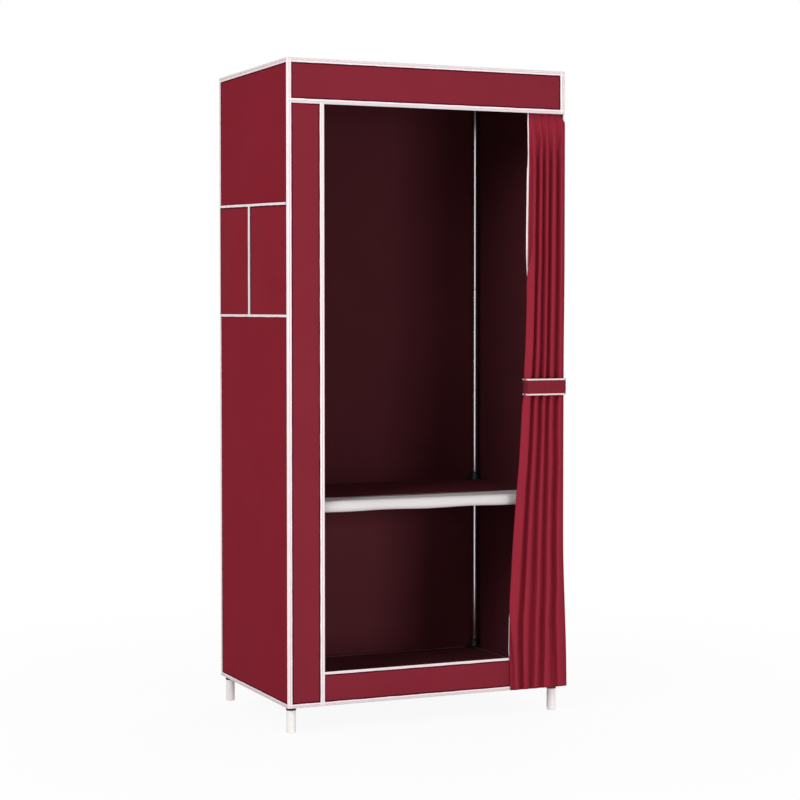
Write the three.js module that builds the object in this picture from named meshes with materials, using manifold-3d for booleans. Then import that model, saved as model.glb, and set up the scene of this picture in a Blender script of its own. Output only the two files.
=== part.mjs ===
// Portable fabric wardrobe: a push-together frame of steel tube and moulded connectors, stood on
// four plastic feet, under a sewn cloth cover with a drawn curtain, a tieback and two side pockets.
// Millimetres. +X is the wardrobe's right, +Y its back, +Z up, and the feet stand on Z = 0.

import * as THREE from "three";
import { mergeVertices } from "three/addons/utils/BufferGeometryUtils.js";
import Module from "manifold-3d";

const wasm = await Module();
wasm.setup();

// Cover, measured over the cloth
const coverWidth = 710;
const coverDepth = 470;
const coverHeight = 1480;
const hemHeight = 62;
const cloth = 1;
const seat = 0.3;

// Frame tube
const tubeRadius = 8;
const tubeWall = 0.8;
const neckLength = 35;
const neckTaper = 4;
const roundSides = 12;

// Moulded connectors
const socketWall = 2.7;
const socketDepth = 18;
const tubeStop = 12;
const hubRadius = 13;
const beadWidth = 3;
const beadHeight = 0.9;
const gussetThickness = 2.8;
const gussetRise = 3.2;
const plugWall = 2.4;

// Frame layout inside the cover
const coverEase = 3;
const curtainSpace = 13;
const baseRailHeight = 21;
const shelfHeight = 468;
const hangingRailDrop = 40;
const postSplitShare = 0.5;

// Feet
const footRadius = 11;
const footEdge = 3;
const footFloor = 6;
const footBoreRadius = 5.4;

// Hanging rail clips
const clipWall = 2.6;
const clipArmThickness = 5;
const clipSocketOffset = 8;
const clipFloor = 3;
const clipWebDrop = 19;
const clipMouthAngle = Math.PI / 2.5;
const clipMouthAim = -Math.PI / 3.6;
const clipShoulderAngle = Math.PI / 6;

// Front of the cover
const valanceHeight = 100;
const sideStripWidth = 89.5;
const bottomStripHeight = 76.5;

// White binding tape
const tape = 0.8;
const cornerTape = 10;
const openingTape = 10;
const valanceTape = 9.5;
const crownTape = 8.5;
const sillTape = 5;
const hemTape = 8;
const sideTape = 6;
const wrapTape = 2;

// Shelf and base cloths
const sleeveDrop = 6.2;

// Curtain rod and its glide ring
const rodRadius = 3;
const rodDrop = 20;
const rodClearFront = 3.4;
const cupWall = 1.9;
const cupLength = 13;
const cupFloor = 3;
const cupWeb = 6;
const ringWall = 2;
const ringWidth = 4;
const ringTabWidth = 4.6;
const ringTabDrop = 11;
const ringEyeRadius = 1.2;
const ringEyeRise = 2.2;

// Curtain, gathered at the right
const curtainCloth = 1.2;
const gatherAtHeader = 99;
const gatherAtHem = 148;
const foldDepth = 26;
const headerDepth = 8;
const casingWall = 1.2;
const casingInset = 1.6;
const curtainHemHeight = 2.5;
const sewnEdgeInset = 1.5;
const edgeBindingWidth = 3;
const edgeBindingThickness = 2.2;

// Tieback
const tiebackHeight = 726.5;
const strapWidth = 39;
const strapThickness = 1.2;
const strapEase = 1.5;
const strapCornerRadius = 7;
const strapBackRadius = 2.5;
const strapReturn = 26;

// Side pockets
const pocketBottom = 896;
const pocketTop = 1160;
const frontPocketWidth = 250;
const pocketBulge = 7.4;
const pocketTape = 5;

// Places that follow from the sizes above
const sideX = coverWidth / 2;
const frontY = -coverDepth / 2;
const backY = coverDepth / 2;
const topZ = hemHeight + coverHeight;
const valanceZ = topZ - valanceHeight;
const socketRadius = tubeRadius + seat + socketWall;
const socketLength = tubeStop + socketDepth;
const postX = sideX - cloth - coverEase - hubRadius;
const frontPostY = frontY + cloth + curtainSpace + hubRadius;
const backPostY = backY - cloth - coverEase - hubRadius;
const middleY = (frontPostY + backPostY) / 2;
const sleeveRadius = tubeRadius + seat + cloth;
const baseRailZ = hemHeight + baseRailHeight;
const shelfRailZ = hemHeight + shelfHeight - sleeveRadius;
const topRailZ = topZ - cloth - seat - hubRadius;
const rodZ = topRailZ - rodDrop;
const rodY = frontY + cloth + rodClearFront + rodRadius;
const cupRadius = rodRadius + seat + cupWall;
const tapeRise = seat + tape;

const palette = {
  steel: { color: 0xb9bbbd, roughness: 0.22, metalness: 1 },
  moulding: { color: 0x1c1b1c, roughness: 0.5, metalness: 0 },
  foot: { color: 0xeee7e6, roughness: 0.4, metalness: 0 },
  cover: { color: 0x842a37, roughness: 0.95, metalness: 0 },
  curtain: { color: 0x7c1f2c, roughness: 0.95, metalness: 0 },
  white: { color: 0xf4e9e9, roughness: 0.85, metalness: 0 },
};

const group = new THREE.Group();

function add(name, geometry, finish, x = 0, y = 0, z = 0) {
  const mesh = new THREE.Mesh(geometry, new THREE.MeshStandardMaterial(palette[finish]));
  mesh.name = name;
  mesh.position.set(x, y, z);
  group.add(mesh);
}

// Solids

// One closed mesh with shared corners and no empty triangles
function closed(geometry) {
  const bare = geometry.clone();
  bare.deleteAttribute("normal");
  bare.deleteAttribute("uv");
  const merged = mergeVertices(bare);
  const kept = [];
  const index = merged.index.array;
  for (let i = 0; i < index.length; i += 3) {
    const [a, b, c] = [index[i], index[i + 1], index[i + 2]];
    if (a !== b && b !== c && c !== a) kept.push(a, b, c);
  }
  merged.setIndex(kept);
  return merged;
}

function solid(geometry) {
  const merged = closed(geometry);
  return new wasm.Manifold(new wasm.Mesh({
    numProp: 3,
    vertProperties: new Float32Array(merged.attributes.position.array),
    triVerts: new Uint32Array(merged.index.array),
  }));
}

function geometryOf(body) {
  const mesh = body.getMesh();
  const geometry = new THREE.BufferGeometry();
  geometry.setAttribute("position", new THREE.BufferAttribute(mesh.vertProperties, mesh.numProp));
  geometry.setIndex(new THREE.BufferAttribute(mesh.triVerts, 1));
  return geometry;
}

function union(bodies) {
  return bodies.reduce((sum, body) => sum.add(body));
}

// A box from its least and greatest corners
function block(x0, x1, y0, y1, z0, z1) {
  const geometry = new THREE.BoxGeometry(x1 - x0, y1 - y0, z1 - z0);
  return geometry.translate((x0 + x1) / 2, (y0 + y1) / 2, (z0 + z1) / 2);
}

// A profile of [radius, height] pairs turned about +Z
function turned(profile) {
  const points = profile.map(([radius, height]) => new THREE.Vector2(radius, height));
  return new THREE.LatheGeometry(points, roundSides).rotateX(Math.PI / 2);
}

const axisX = new THREE.Vector3(1, 0, 0);
const axisY = new THREE.Vector3(0, 1, 0);
const axisZ = new THREE.Vector3(0, 0, 1);

// Turns a solid that runs along +Z so that it runs along the given direction
function aimed(geometry, direction) {
  const turn = new THREE.Quaternion().setFromUnitVectors(axisZ, direction);
  return geometry.applyQuaternion(turn);
}

// A flat shape in the Y-Z plane, drawn out along X about the middle
function alongX(shape, length, curveSegments = 4) {
  const geometry = new THREE.ExtrudeGeometry(shape, { depth: length, bevelEnabled: false, curveSegments });
  geometry.translate(0, 0, -length / 2);
  return geometry.applyMatrix4(new THREE.Matrix4().makeBasis(axisY, axisZ, axisX));
}

// A flat shape in the X-Z plane, its first direction towards -X, drawn out along Y about the middle
function alongY(shape, length, curveSegments = 4) {
  const geometry = new THREE.ExtrudeGeometry(shape, { depth: length, bevelEnabled: false, curveSegments });
  geometry.translate(0, 0, -length / 2);
  return geometry.applyMatrix4(new THREE.Matrix4().makeBasis(axisX.clone().negate(), axisZ, axisY));
}

function alongZ(shape, bottom, top) {
  const geometry = new THREE.ExtrudeGeometry(shape, { depth: top - bottom, bevelEnabled: false });
  return geometry.translate(0, 0, bottom);
}

// The outline of a strip of cloth of one thickness that follows a path of [x, y] points
function stripOutline(path, thickness) {
  const sides = [[], []];
  path.forEach((point, i) => {
    const before = path[Math.max(i - 1, 0)];
    const after = path[Math.min(i + 1, path.length - 1)];
    const along = new THREE.Vector2(after[0] - before[0], after[1] - before[1]).normalize();
    const across = [-along.y * thickness / 2, along.x * thickness / 2];
    sides[0].push([point[0] - across[0], point[1] - across[1]]);
    sides[1].push([point[0] + across[0], point[1] + across[1]]);
  });
  return [...sides[0], ...sides[1].reverse()];
}

function shapeOf(outline) {
  return new THREE.Shape(outline.map(([x, y]) => new THREE.Vector2(x, y)));
}

// Frame tube

function tube(length) {
  const bore = tubeRadius - tubeWall;
  return turned([[bore, 0], [tubeRadius, 0], [tubeRadius, length], [bore, length], [bore, 0]]);
}

// A tube whose lower end is drawn down to push into the tube below it
function neckedTube(length) {
  const neck = tubeRadius - tubeWall - seat;
  const bore = tubeRadius - tubeWall;
  return turned([
    [neck - tubeWall, -neckLength],
    [neck, -neckLength],
    [neck, seat],
    [tubeRadius, seat + neckTaper],
    [tubeRadius, length],
    [bore, length],
    [bore, seat + neckTaper],
    [neck - tubeWall, seat],
    [neck - tubeWall, -neckLength],
  ]);
}

// Moulded connectors

function socket() {
  const bead = socketRadius + beadHeight;
  return turned([
    [0, 0],
    [socketRadius, 0],
    [socketRadius, socketLength - beadWidth],
    [bead, socketLength - beadWidth],
    [bead, socketLength],
    [0, socketLength],
  ]);
}

function socketBore() {
  const radius = tubeRadius + seat;
  const bottom = tubeStop - seat;
  const reach = socketLength + beadWidth;
  return turned([[0, bottom], [radius, bottom], [radius, reach], [0, reach]]);
}

// A web with a hollowed edge between two sockets at right angles
function gusset(first, second) {
  const reach = socketLength - beadWidth;
  const rooted = socketRadius - socketWall / 2;
  const hollow = socketRadius + gussetRise;
  const shape = new THREE.Shape();
  shape.moveTo(0, 0);
  shape.lineTo(reach, 0);
  shape.lineTo(reach, rooted);
  shape.quadraticCurveTo(hollow, hollow, rooted, reach);
  shape.lineTo(0, reach);
  shape.closePath();
  const options = { depth: gussetThickness, bevelEnabled: false, curveSegments: 3 };
  const geometry = new THREE.ExtrudeGeometry(shape, options).translate(0, 0, -gussetThickness / 2);
  const third = new THREE.Vector3().crossVectors(first, second);
  return geometry.applyMatrix4(new THREE.Matrix4().makeBasis(first, second, third));
}

// A hub with one socket for each direction, webs between them, and a rod cup where one is wanted
function connector(uprights, level, withCup) {
  const arms = [...uprights, ...level];
  const bodies = [solid(new THREE.SphereGeometry(hubRadius, roundSides, roundSides / 2).rotateX(Math.PI / 2))];
  for (const arm of arms) bodies.push(solid(aimed(socket(), arm)));
  for (const upright of uprights) {
    for (const arm of level) bodies.push(solid(gusset(arm, upright)));
  }
  bodies.push(solid(gusset(level[0], level[1])));
  if (withCup) bodies.push(...rodCup());
  let body = union(bodies);
  for (const arm of arms) body = body.subtract(solid(aimed(socketBore(), arm)));
  if (withCup) body = body.subtract(rodCupBore(level[0].x));
  return geometryOf(body);
}

// The cup in front of a top connector that holds one end of the curtain rod
function rodCup() {
  const y = rodY - frontPostY;
  const cup = aimed(turned([[0, 0], [cupRadius, 0], [cupRadius, cupLength], [0, cupLength]]), axisX);
  cup.translate(-cupLength / 2, y, -rodDrop);
  const web = block(-cupWeb / 2, cupWeb / 2, y + rodRadius + seat, -tubeRadius - 2 * seat,
    -rodDrop - cupRadius + cupWall, -rodDrop + cupRadius - cupWall);
  return [solid(cup), solid(web)];
}

function rodCupBore(inward) {
  const radius = rodRadius + seat;
  const bore = aimed(turned([[0, 0], [radius, 0], [radius, cupLength], [0, cupLength]]), axisX);
  return solid(bore.translate(inward * cupFloor - cupLength / 2, rodY - frontPostY, -rodDrop));
}

function foot() {
  const top = hemHeight + baseRailHeight - socketLength - seat;
  const plugTop = top + socketDepth;
  const edge = footEdge * (1 - Math.SQRT1_2);
  return turned([
    [0, 0],
    [footRadius - footEdge, 0],
    [footRadius - edge, edge],
    [footRadius, footEdge],
    [footRadius, top],
    [tubeRadius, top],
    [tubeRadius, plugTop],
    [tubeRadius - plugWall, plugTop],
    [footBoreRadius, footFloor],
    [0, footFloor],
  ]);
}

// Frame

const sides = [["left", -1], ["right", 1]];
const ends = [["front", frontPostY, 1], ["back", backPostY, -1]];
const up = axisZ;
const down = axisZ.clone().negate();
const lowerPostZ = baseRailZ + tubeStop;
const middlePostZ = shelfRailZ + tubeStop;
const postTopZ = topRailZ - tubeStop;
const splitZ = middlePostZ + (postTopZ - middlePostZ) * postSplitShare;

for (const [end, y, inY] of ends) {
  for (const [side, sign] of sides) {
    const x = sign * postX;
    const corner = `${end}_${side}`;
    const level = [new THREE.Vector3(-sign, 0, 0), new THREE.Vector3(0, inY, 0)];
    add(`foot_${corner}`, foot(), "foot", x, y);
    add(`base_connector_${corner}`, connector([up, down], level, false), "moulding", x, y, baseRailZ);
    add(`shelf_connector_${corner}`, connector([up, down], level, false), "moulding", x, y, shelfRailZ);
    add(`top_connector_${corner}`, connector([down], level, end === "front"), "moulding", x, y, topRailZ);
    add(`lower_post_${corner}`, tube(shelfRailZ - tubeStop - lowerPostZ), "steel", x, y, lowerPostZ);
    add(`middle_post_${corner}`, tube(splitZ - middlePostZ), "steel", x, y, middlePostZ);
    add(`upper_post_${corner}`, neckedTube(postTopZ - splitZ), "steel", x, y, splitZ);
  }
}

const railLevels = [["base", baseRailZ], ["shelf", shelfRailZ], ["top", topRailZ]];
const widthRail = 2 * (postX - tubeStop);
const depthRail = backPostY - frontPostY - 2 * tubeStop;

for (const [tier, z] of railLevels) {
  for (const [end, y] of ends) {
    add(`${tier}_rail_${end}`, aimed(tube(widthRail), axisX), "steel", -widthRail / 2, y, z);
  }
  for (const [side, sign] of sides) {
    add(`${tier}_rail_${side}`, aimed(tube(depthRail), axisY), "steel", sign * postX, frontPostY + tubeStop, z);
  }
}

// Hanging rail and the clips that hook over the side rails at the top

const clipRingRadius = tubeRadius + seat + clipWall;
const clipWidth = 2 * socketRadius;
const railEnd = postX - clipSocketOffset - clipFloor - seat;

// Built for the left side, with the rail's socket towards +X
function railClip() {
  const from = clipMouthAim + clipMouthAngle / 2;
  const to = clipMouthAim - clipMouthAngle / 2 + 2 * Math.PI;
  const sector = new THREE.Shape();
  sector.moveTo(0, 0);
  sector.lineTo(clipRingRadius * Math.cos(from), clipRingRadius * Math.sin(from));
  sector.absarc(0, 0, clipRingRadius, from, to, false);
  sector.closePath();
  const hook = alongY(sector, clipWidth, roundSides);
  const outer = clipSocketOffset + clipArmThickness;
  const shoulder = new THREE.Vector2(-Math.cos(clipShoulderAngle), Math.sin(clipShoulderAngle));
  shoulder.multiplyScalar(clipRingRadius);
  const arm = new THREE.Shape();
  arm.moveTo(0, 0);
  arm.lineTo(shoulder.x, shoulder.y);
  arm.lineTo(-outer, 0);
  arm.lineTo(-outer, -hangingRailDrop);
  arm.lineTo(-clipSocketOffset, -hangingRailDrop);
  arm.lineTo(-clipSocketOffset, -clipWebDrop);
  arm.lineTo(0, -clipRingRadius);
  arm.closePath();
  const cup = aimed(turned([
    [0, 0],
    [socketRadius, 0],
    [socketRadius, socketDepth + clipFloor],
    [0, socketDepth + clipFloor],
  ]), axisX);
  cup.translate(clipSocketOffset, 0, -hangingRailDrop);
  const inner = tubeRadius + seat;
  const cupBore = aimed(turned([[0, 0], [inner, 0], [inner, socketLength], [0, socketLength]]), axisX);
  cupBore.translate(clipSocketOffset + clipFloor, 0, -hangingRailDrop);
  const railSpace = aimed(turned([
    [0, -clipWidth],
    [inner, -clipWidth],
    [inner, clipWidth],
    [0, clipWidth],
  ]), axisY);
  const body = union([solid(hook), solid(alongY(arm, clipWidth)), solid(cup)]);
  return geometryOf(body.subtract(solid(cupBore)).subtract(solid(railSpace)));
}

for (const [side, sign] of sides) {
  const clip = railClip();
  if (sign > 0) clip.rotateZ(Math.PI);
  add(`rail_clip_${side}`, clip, "moulding", sign * postX, middleY, topRailZ);
}
add("hanging_rail", aimed(tube(2 * railEnd), axisX), "steel", -railEnd, middleY, topRailZ - hangingRailDrop);

// Shelf and base: one cloth each, with a sleeve along every rail and its corners cut away

function sleeve(length, along) {
  const outline = (radius, path) => {
    path.absarc(0, 0, radius, 0, Math.PI, false);
    path.absarc(0, -sleeveDrop, radius, Math.PI, 2 * Math.PI, false);
    path.closePath();
    return path;
  };
  const shape = outline(sleeveRadius, new THREE.Shape());
  shape.holes.push(outline(sleeveRadius - cloth, new THREE.Path()));
  return along(shape, length, 5);
}

function railCloth() {
  const halfX = postX - socketLength - seat;
  const halfY = (backPostY - frontPostY) / 2 - socketLength - seat;
  const spanY = (backPostY - frontPostY) / 2;
  const flatBottom = sleeveRadius - cloth;
  const bodies = [
    solid(block(-halfX, halfX, -spanY, spanY, flatBottom, sleeveRadius)),
    solid(block(-postX, postX, -halfY, halfY, flatBottom, sleeveRadius)),
  ];
  for (const sign of [-1, 1]) {
    bodies.push(solid(sleeve(2 * halfX, alongX).translate(0, sign * spanY, 0)));
    bodies.push(solid(sleeve(2 * halfY, alongY).translate(sign * postX, 0, 0)));
  }
  return geometryOf(union(bodies));
}

add("shelf_cloth", railCloth(), "white", 0, middleY, shelfRailZ);
add("base_cloth", railCloth(), "cover", 0, middleY, baseRailZ);

// Cover panels

const panelTopZ = topZ - cloth - seat;
const stripEdgeX = -sideX + sideStripWidth;
const sillZ = hemHeight + bottomStripHeight;

add("top_panel", block(-sideX, sideX, frontY, backY, topZ - cloth, topZ), "cover");
add("back_panel", block(-sideX, sideX, backY - cloth, backY, hemHeight, panelTopZ), "cover");
for (const [side, sign] of sides) {
  const [inner, outer] = [sign * (sideX - cloth), sign * sideX];
  add(`${side}_panel`, block(Math.min(inner, outer), Math.max(inner, outer), frontY + cloth + seat,
    backY - cloth - seat, hemHeight, panelTopZ), "cover");
}
add("valance", block(-sideX, sideX, frontY, frontY + cloth, valanceZ, panelTopZ), "cover");
add("front_left_strip", block(-sideX, stripEdgeX, frontY, frontY + cloth, hemHeight, valanceZ - seat), "cover");
add("front_bottom_strip", block(stripEdgeX + seat, sideX, frontY, frontY + cloth, hemHeight, sillZ), "cover");

// Binding tape, in two made-up pieces: the front's, and the one round the other faces

function frontBinding() {
  const tapeY = [frontY - tapeRise, frontY - seat];
  const flat = (x0, x1, z0, z1) => solid(block(x0, x1, ...tapeY, z0, z1));
  return geometryOf(union([
    flat(-sideX, -sideX + cornerTape, hemHeight, topZ),
    flat(sideX - cornerTape, sideX, valanceZ, topZ),
    flat(-sideX, sideX, topZ - crownTape, topZ),
    flat(-sideX, sideX, valanceZ, valanceZ + valanceTape),
    flat(stripEdgeX - openingTape, stripEdgeX, hemHeight, valanceZ + valanceTape),
    flat(stripEdgeX - openingTape, sideX, sillZ - sillTape, sillZ),
    flat(-sideX, sideX, hemHeight, hemHeight + hemTape),
  ]));
}

function bodyBinding() {
  const outX = sideX + tapeRise;
  const outY = backY + tapeRise;
  const outZ = topZ + tapeRise;
  const frontEnd = frontY - tapeRise;
  const bodies = [
    solid(block(-outX, outX, backY + seat, outY, hemHeight, hemHeight + hemTape)),
    solid(block(-outX, outX, backY + seat, outY, topZ - sideTape, outZ)),
    solid(block(-outX, outX, backY - sideTape, outY, topZ + seat, outZ)),
    solid(block(-outX, outX, frontEnd, frontY + sideTape, topZ + seat, outZ)),
  ];
  for (const [, sign] of sides) {
    const onSide = (y0, y1, z0, z1) => {
      const [a, b] = [sign * (sideX + seat), sign * outX];
      return solid(block(Math.min(a, b), Math.max(a, b), y0, y1, z0, z1));
    };
    const onEdge = (inset, y0, y1, z0, z1) => {
      const [a, b] = [sign * (sideX - inset), sign * outX];
      return solid(block(Math.min(a, b), Math.max(a, b), y0, y1, z0, z1));
    };
    bodies.push(
      onSide(frontEnd, frontY + wrapTape, hemHeight, outZ),
      onSide(backY - sideTape, outY, hemHeight, outZ),
      onSide(frontEnd, outY, hemHeight, hemHeight + hemTape),
      onSide(frontEnd, outY, topZ - sideTape, outZ),
      onEdge(sideTape, backY + seat, outY, hemHeight, outZ),
      onEdge(sideTape, frontEnd, outY, topZ + seat, outZ),
    );
  }
  return geometryOf(union(bodies));
}

add("front_binding", frontBinding(), "white");
add("body_binding", bodyBinding(), "white");

// Side pockets: a bulging outer layer sewn to the left panel at its ends, its foot and a divider

const pocketFrontY = frontY + wrapTape + seat;
const pocketBackY = backY - sideTape - seat;
const dividerY = frontY + frontPocketWidth;
const pocketBowSteps = 8;

// The bow of both pockets in plan, as [distance out from the panel, y] points
function pocketBow(rise) {
  const points = [];
  const bays = [[pocketFrontY, dividerY], [dividerY, pocketBackY]];
  for (const [from, to] of bays) {
    for (let i = points.length ? 1 : 0; i <= pocketBowSteps; i += 1) {
      const share = i / pocketBowSteps;
      points.push([rise + pocketBulge * Math.sin(Math.PI * share) ** 2, from + (to - from) * share]);
    }
  }
  return points;
}

function pocketPanel() {
  const band = (inner, outer, bottom, top) => {
    const out = (points) => points.map(([rise, y]) => [-sideX - seat - rise, y]);
    return solid(alongZ(shapeOf([...out(inner), ...out(outer).reverse()]), bottom, top));
  };
  const flat = [[0, pocketFrontY], [0, pocketBackY]];
  const bottom = hemHeight + pocketBottom;
  const top = hemHeight + pocketTop;
  const dividerHalf = pocketTape / 2;
  const taped = -sideX - seat - cloth - tape;
  return geometryOf(union([
    band(pocketBow(0), pocketBow(cloth), bottom, top),
    band(flat, pocketBow(cloth + tape), bottom, bottom + pocketTape),
    band(pocketBow(cloth / 2), pocketBow(cloth + tape), top - pocketTape, top),
    solid(block(taped, -sideX - seat - cloth / 2, dividerY - dividerHalf, dividerY + dividerHalf, bottom, top)),
  ]));
}

add("pocket_panel", pocketPanel(), "cover");

// Curtain rod, between the cups of the two front connectors

const rodHalf = postX + cupLength / 2 - cupFloor - seat;
const rodSection = [[0, 0], [rodRadius, 0], [rodRadius, 2 * rodHalf], [0, 2 * rodHalf]];
add("curtain_rod", aimed(turned(rodSection), axisX), "steel", -rodHalf, rodY, rodZ);

// Curtain: five rounded folds that hang from a casing on the rod behind the valance, come forward
// under its edge, lean towards the doorway, pass through the tieback and spread towards the hem

const curtainHemZ = hemHeight + curtainHemHeight;
const curtainDrop = valanceZ - curtainHemZ;
const tiebackZ = hemHeight + tiebackHeight;
const hangingBackY = frontY - tapeRise - strapThickness - 2 * seat - curtainCloth / 2;
const headerBackY = rodY + headerDepth / 2;
const casingRadius = rodRadius + seat + casingWall;
const headerTopZ = rodZ - casingRadius + casingWall / 2;
const casingEndX = postX - cupLength / 2 - casingInset;
const sewnEdgeX = sideX - sewnEdgeInset;

const foldEdgeShares = [0, 0.23, 0.42, 0.6, 0.8, 1];
const foldSteps = 10;
const foldTailShare = 0.36;
const foldRoundShare = 0.25;
const foldLeanShare = 0.47;

// From the valance's edge down: how far down, how far the leading edge has spread, and how deep
// the folds are
const foldStations = [
  { heightShare: 0.002, spreadShare: 0, depthShare: 0.2, forwardShare: 0 },
  { heightShare: 0.03, spreadShare: 0, depthShare: 0.3, forwardShare: 1 },
  { heightShare: 0.085, spreadShare: 0.03, depthShare: 0.66, forwardShare: 1 },
  { heightShare: 0.18, spreadShare: 0.05, depthShare: 0.9, forwardShare: 1 },
  { heightShare: 0.33, spreadShare: 0.02, depthShare: 0.85, forwardShare: 1 },
  { heightShare: 0.47, spreadShare: 0.16, depthShare: 0.8, forwardShare: 1 },
  { heightShare: 0.6, spreadShare: 0.4, depthShare: 0.9, forwardShare: 1 },
  { heightShare: 0.73, spreadShare: 0.71, depthShare: 1, forwardShare: 1 },
  { heightShare: 0.88, spreadShare: 0.97, depthShare: 1, forwardShare: 1 },
  { heightShare: 1, spreadShare: 0.92, depthShare: 0.9, forwardShare: 1 },
];

function curtainStations() {
  const hanging = foldStations.map((station) => ({
    z: valanceZ - curtainDrop * station.heightShare,
    leading: sideX - gatherAtHeader - (gatherAtHem - gatherAtHeader) * station.spreadShare,
    trailing: sewnEdgeX,
    back: headerBackY + (hangingBackY - headerBackY) * station.forwardShare,
    depth: foldDepth * station.depthShare,
  }));
  const header = { ...hanging[0], z: headerTopZ, trailing: casingEndX, depth: headerDepth };
  return [header, ...hanging];
}

// The curtain's leading edge and depth at one height, between the stations above and below it
function curtainAt(z) {
  const stations = curtainStations();
  const below = stations.findIndex((station) => station.z <= z);
  const [upper, lower] = [stations[below - 1], stations[below]];
  const share = (upper.z - z) / (upper.z - lower.z);
  return {
    leading: upper.leading + (lower.leading - upper.leading) * share,
    depth: upper.depth + (lower.depth - upper.depth) * share,
  };
}

// The cloth's middle line in plan at one height, from the leading edge to the sewn one
function foldLine({ leading, trailing, back, depth }) {
  const pleated = trailing - depth * foldTailShare - leading;
  const line = [];
  for (let fold = 0; fold + 1 < foldEdgeShares.length; fold += 1) {
    const from = leading + pleated * foldEdgeShares[fold];
    const pitch = pleated * (foldEdgeShares[fold + 1] - foldEdgeShares[fold]);
    for (let step = 0; step < foldSteps; step += 1) {
      const turn = 2 * Math.PI * step / foldSteps;
      const unit = pitch / (2 * Math.PI);
      const bulge = foldRoundShare * Math.sin(2 * turn) - foldLeanShare * (1 - Math.cos(turn));
      const x = from + unit * (turn + bulge);
      line.push([x, back - depth * (1 - Math.cos(turn)) / 2]);
    }
  }
  line.push([leading + pleated, back], [trailing, back]);
  return line;
}

// A closed skin through rings of equal length, each a strip's outline at its own height
function lofted(rings) {
  const size = rings[0].points.length;
  const positions = [];
  for (const ring of rings) {
    for (const [x, y] of ring.points) positions.push(x, y, ring.z);
  }
  const index = [];
  for (let r = 0; r + 1 < rings.length; r += 1) {
    for (let i = 0; i < size; i += 1) {
      const [a, b] = [r * size + i, r * size + (i + 1) % size];
      index.push(a, a + size, b, b, a + size, b + size);
    }
  }
  const last = (rings.length - 1) * size;
  for (let i = 0; i + 1 < size / 2; i += 1) {
    const [a, b, c, d] = [i, i + 1, size - 2 - i, size - 1 - i];
    index.push(a, b, d, b, c, d);
    index.push(last + a, last + d, last + b, last + b, last + d, last + c);
  }
  const geometry = new THREE.BufferGeometry();
  geometry.setAttribute("position", new THREE.Float32BufferAttribute(positions, 3));
  geometry.setIndex(index);
  return geometry;
}

function curtain() {
  const rings = curtainStations().map((station) => ({
    z: station.z,
    points: stripOutline(foldLine(station), curtainCloth),
  }));
  const casing = aimed(turned([
    [casingRadius - casingWall, 0],
    [casingRadius, 0],
    [casingRadius, casingEndX - sideX + gatherAtHeader],
    [casingRadius - casingWall, casingEndX - sideX + gatherAtHeader],
    [casingRadius - casingWall, 0],
  ]), axisX).translate(sideX - gatherAtHeader, rodY, rodZ);
  return geometryOf(solid(lofted(rings)).add(solid(casing)));
}

// The white tape along the curtain's leading edge, up to the glide ring's tab
function edgeBinding() {
  const topEnd = rodZ - ringTabDrop - seat;
  const rings = curtainStations().map(({ z, leading, back }) => {
    const right = leading - curtainCloth / 2 - seat;
    const left = right - edgeBindingWidth;
    const y = back + (curtainCloth - edgeBindingThickness) / 2;
    const points = stripOutline([[left, y], [right, y]], edgeBindingThickness);
    return { z: Math.min(z, topEnd), points };
  });
  return lofted(rings);
}

// The ring on the rod that the curtain's leading corner is sewn to
function glideRing() {
  const radius = rodRadius + seat + ringWall;
  const half = ringTabWidth / 2;
  const shoulder = Math.asin(half / radius);
  const shape = new THREE.Shape();
  shape.absarc(0, 0, radius, -Math.PI / 2 + shoulder, 1.5 * Math.PI - shoulder, false);
  shape.lineTo(-half, -ringTabDrop + half);
  shape.absarc(0, -ringTabDrop + half, half, Math.PI, 2 * Math.PI, false);
  shape.closePath();
  shape.holes.push(new THREE.Path().absarc(0, 0, rodRadius + seat, 0, 2 * Math.PI, true));
  shape.holes.push(new THREE.Path().absarc(0, -ringTabDrop + ringEyeRise, ringEyeRadius, 0, 2 * Math.PI, true));
  return alongX(shape, ringWidth, 6);
}

const ringX = sideX - gatherAtHeader - seat - ringWidth / 2;
add("curtain", curtain(), "curtain");
add("curtain_edge_binding", edgeBinding(), "white");
add("curtain_glide_ring", glideRing(), "foot", ringX, rodY, rodZ);

// Tieback: a strap sewn at the right front corner that goes round the gathered curtain

function tieback() {
  const head = curtainAt(tiebackZ + strapWidth / 2);
  const foot = curtainAt(tiebackZ - strapWidth / 2);
  const leading = Math.min(head.leading, foot.leading);
  const depth = Math.max(head.depth, foot.depth);
  const half = strapThickness / 2;
  const startX = sideX + tapeRise + seat + half;
  const startY = frontY - tapeRise - seat - half;
  const crestY = hangingBackY - depth - curtainCloth / 2 - seat - half - strapEase;
  const crestX = sewnEdgeX - depth * foldTailShare;
  const leftX = leading - curtainCloth / 2 - edgeBindingWidth - 2 * seat - half - strapEase;
  const r = strapCornerRadius;
  const path = new THREE.Path();
  path.moveTo(startX, startY);
  path.lineTo(crestX + r / 2, crestY + r);
  path.quadraticCurveTo(crestX, crestY, crestX - r, crestY);
  path.lineTo(leftX + r, crestY);
  path.quadraticCurveTo(leftX, crestY, leftX, crestY + r);
  path.lineTo(leftX, startY - strapBackRadius);
  path.quadraticCurveTo(leftX, startY, leftX + strapBackRadius, startY);
  path.lineTo(leftX + strapReturn, startY);
  const points = path.getPoints(5).map((point) => [point.x, point.y]);
  return alongZ(shapeOf(stripOutline(points, strapThickness)), -strapWidth / 2, strapWidth / 2);
}

add("tieback", tieback(), "curtain", 0, 0, tiebackZ);

// The pockets and the curtain stand out, so the middle of the whole is set over the origin
const bounds = new THREE.Box3().setFromObject(group);
const centre = bounds.getCenter(new THREE.Vector3());
group.position.set(-centre.x, -centre.y, -bounds.min.z);

export default group;
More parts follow.
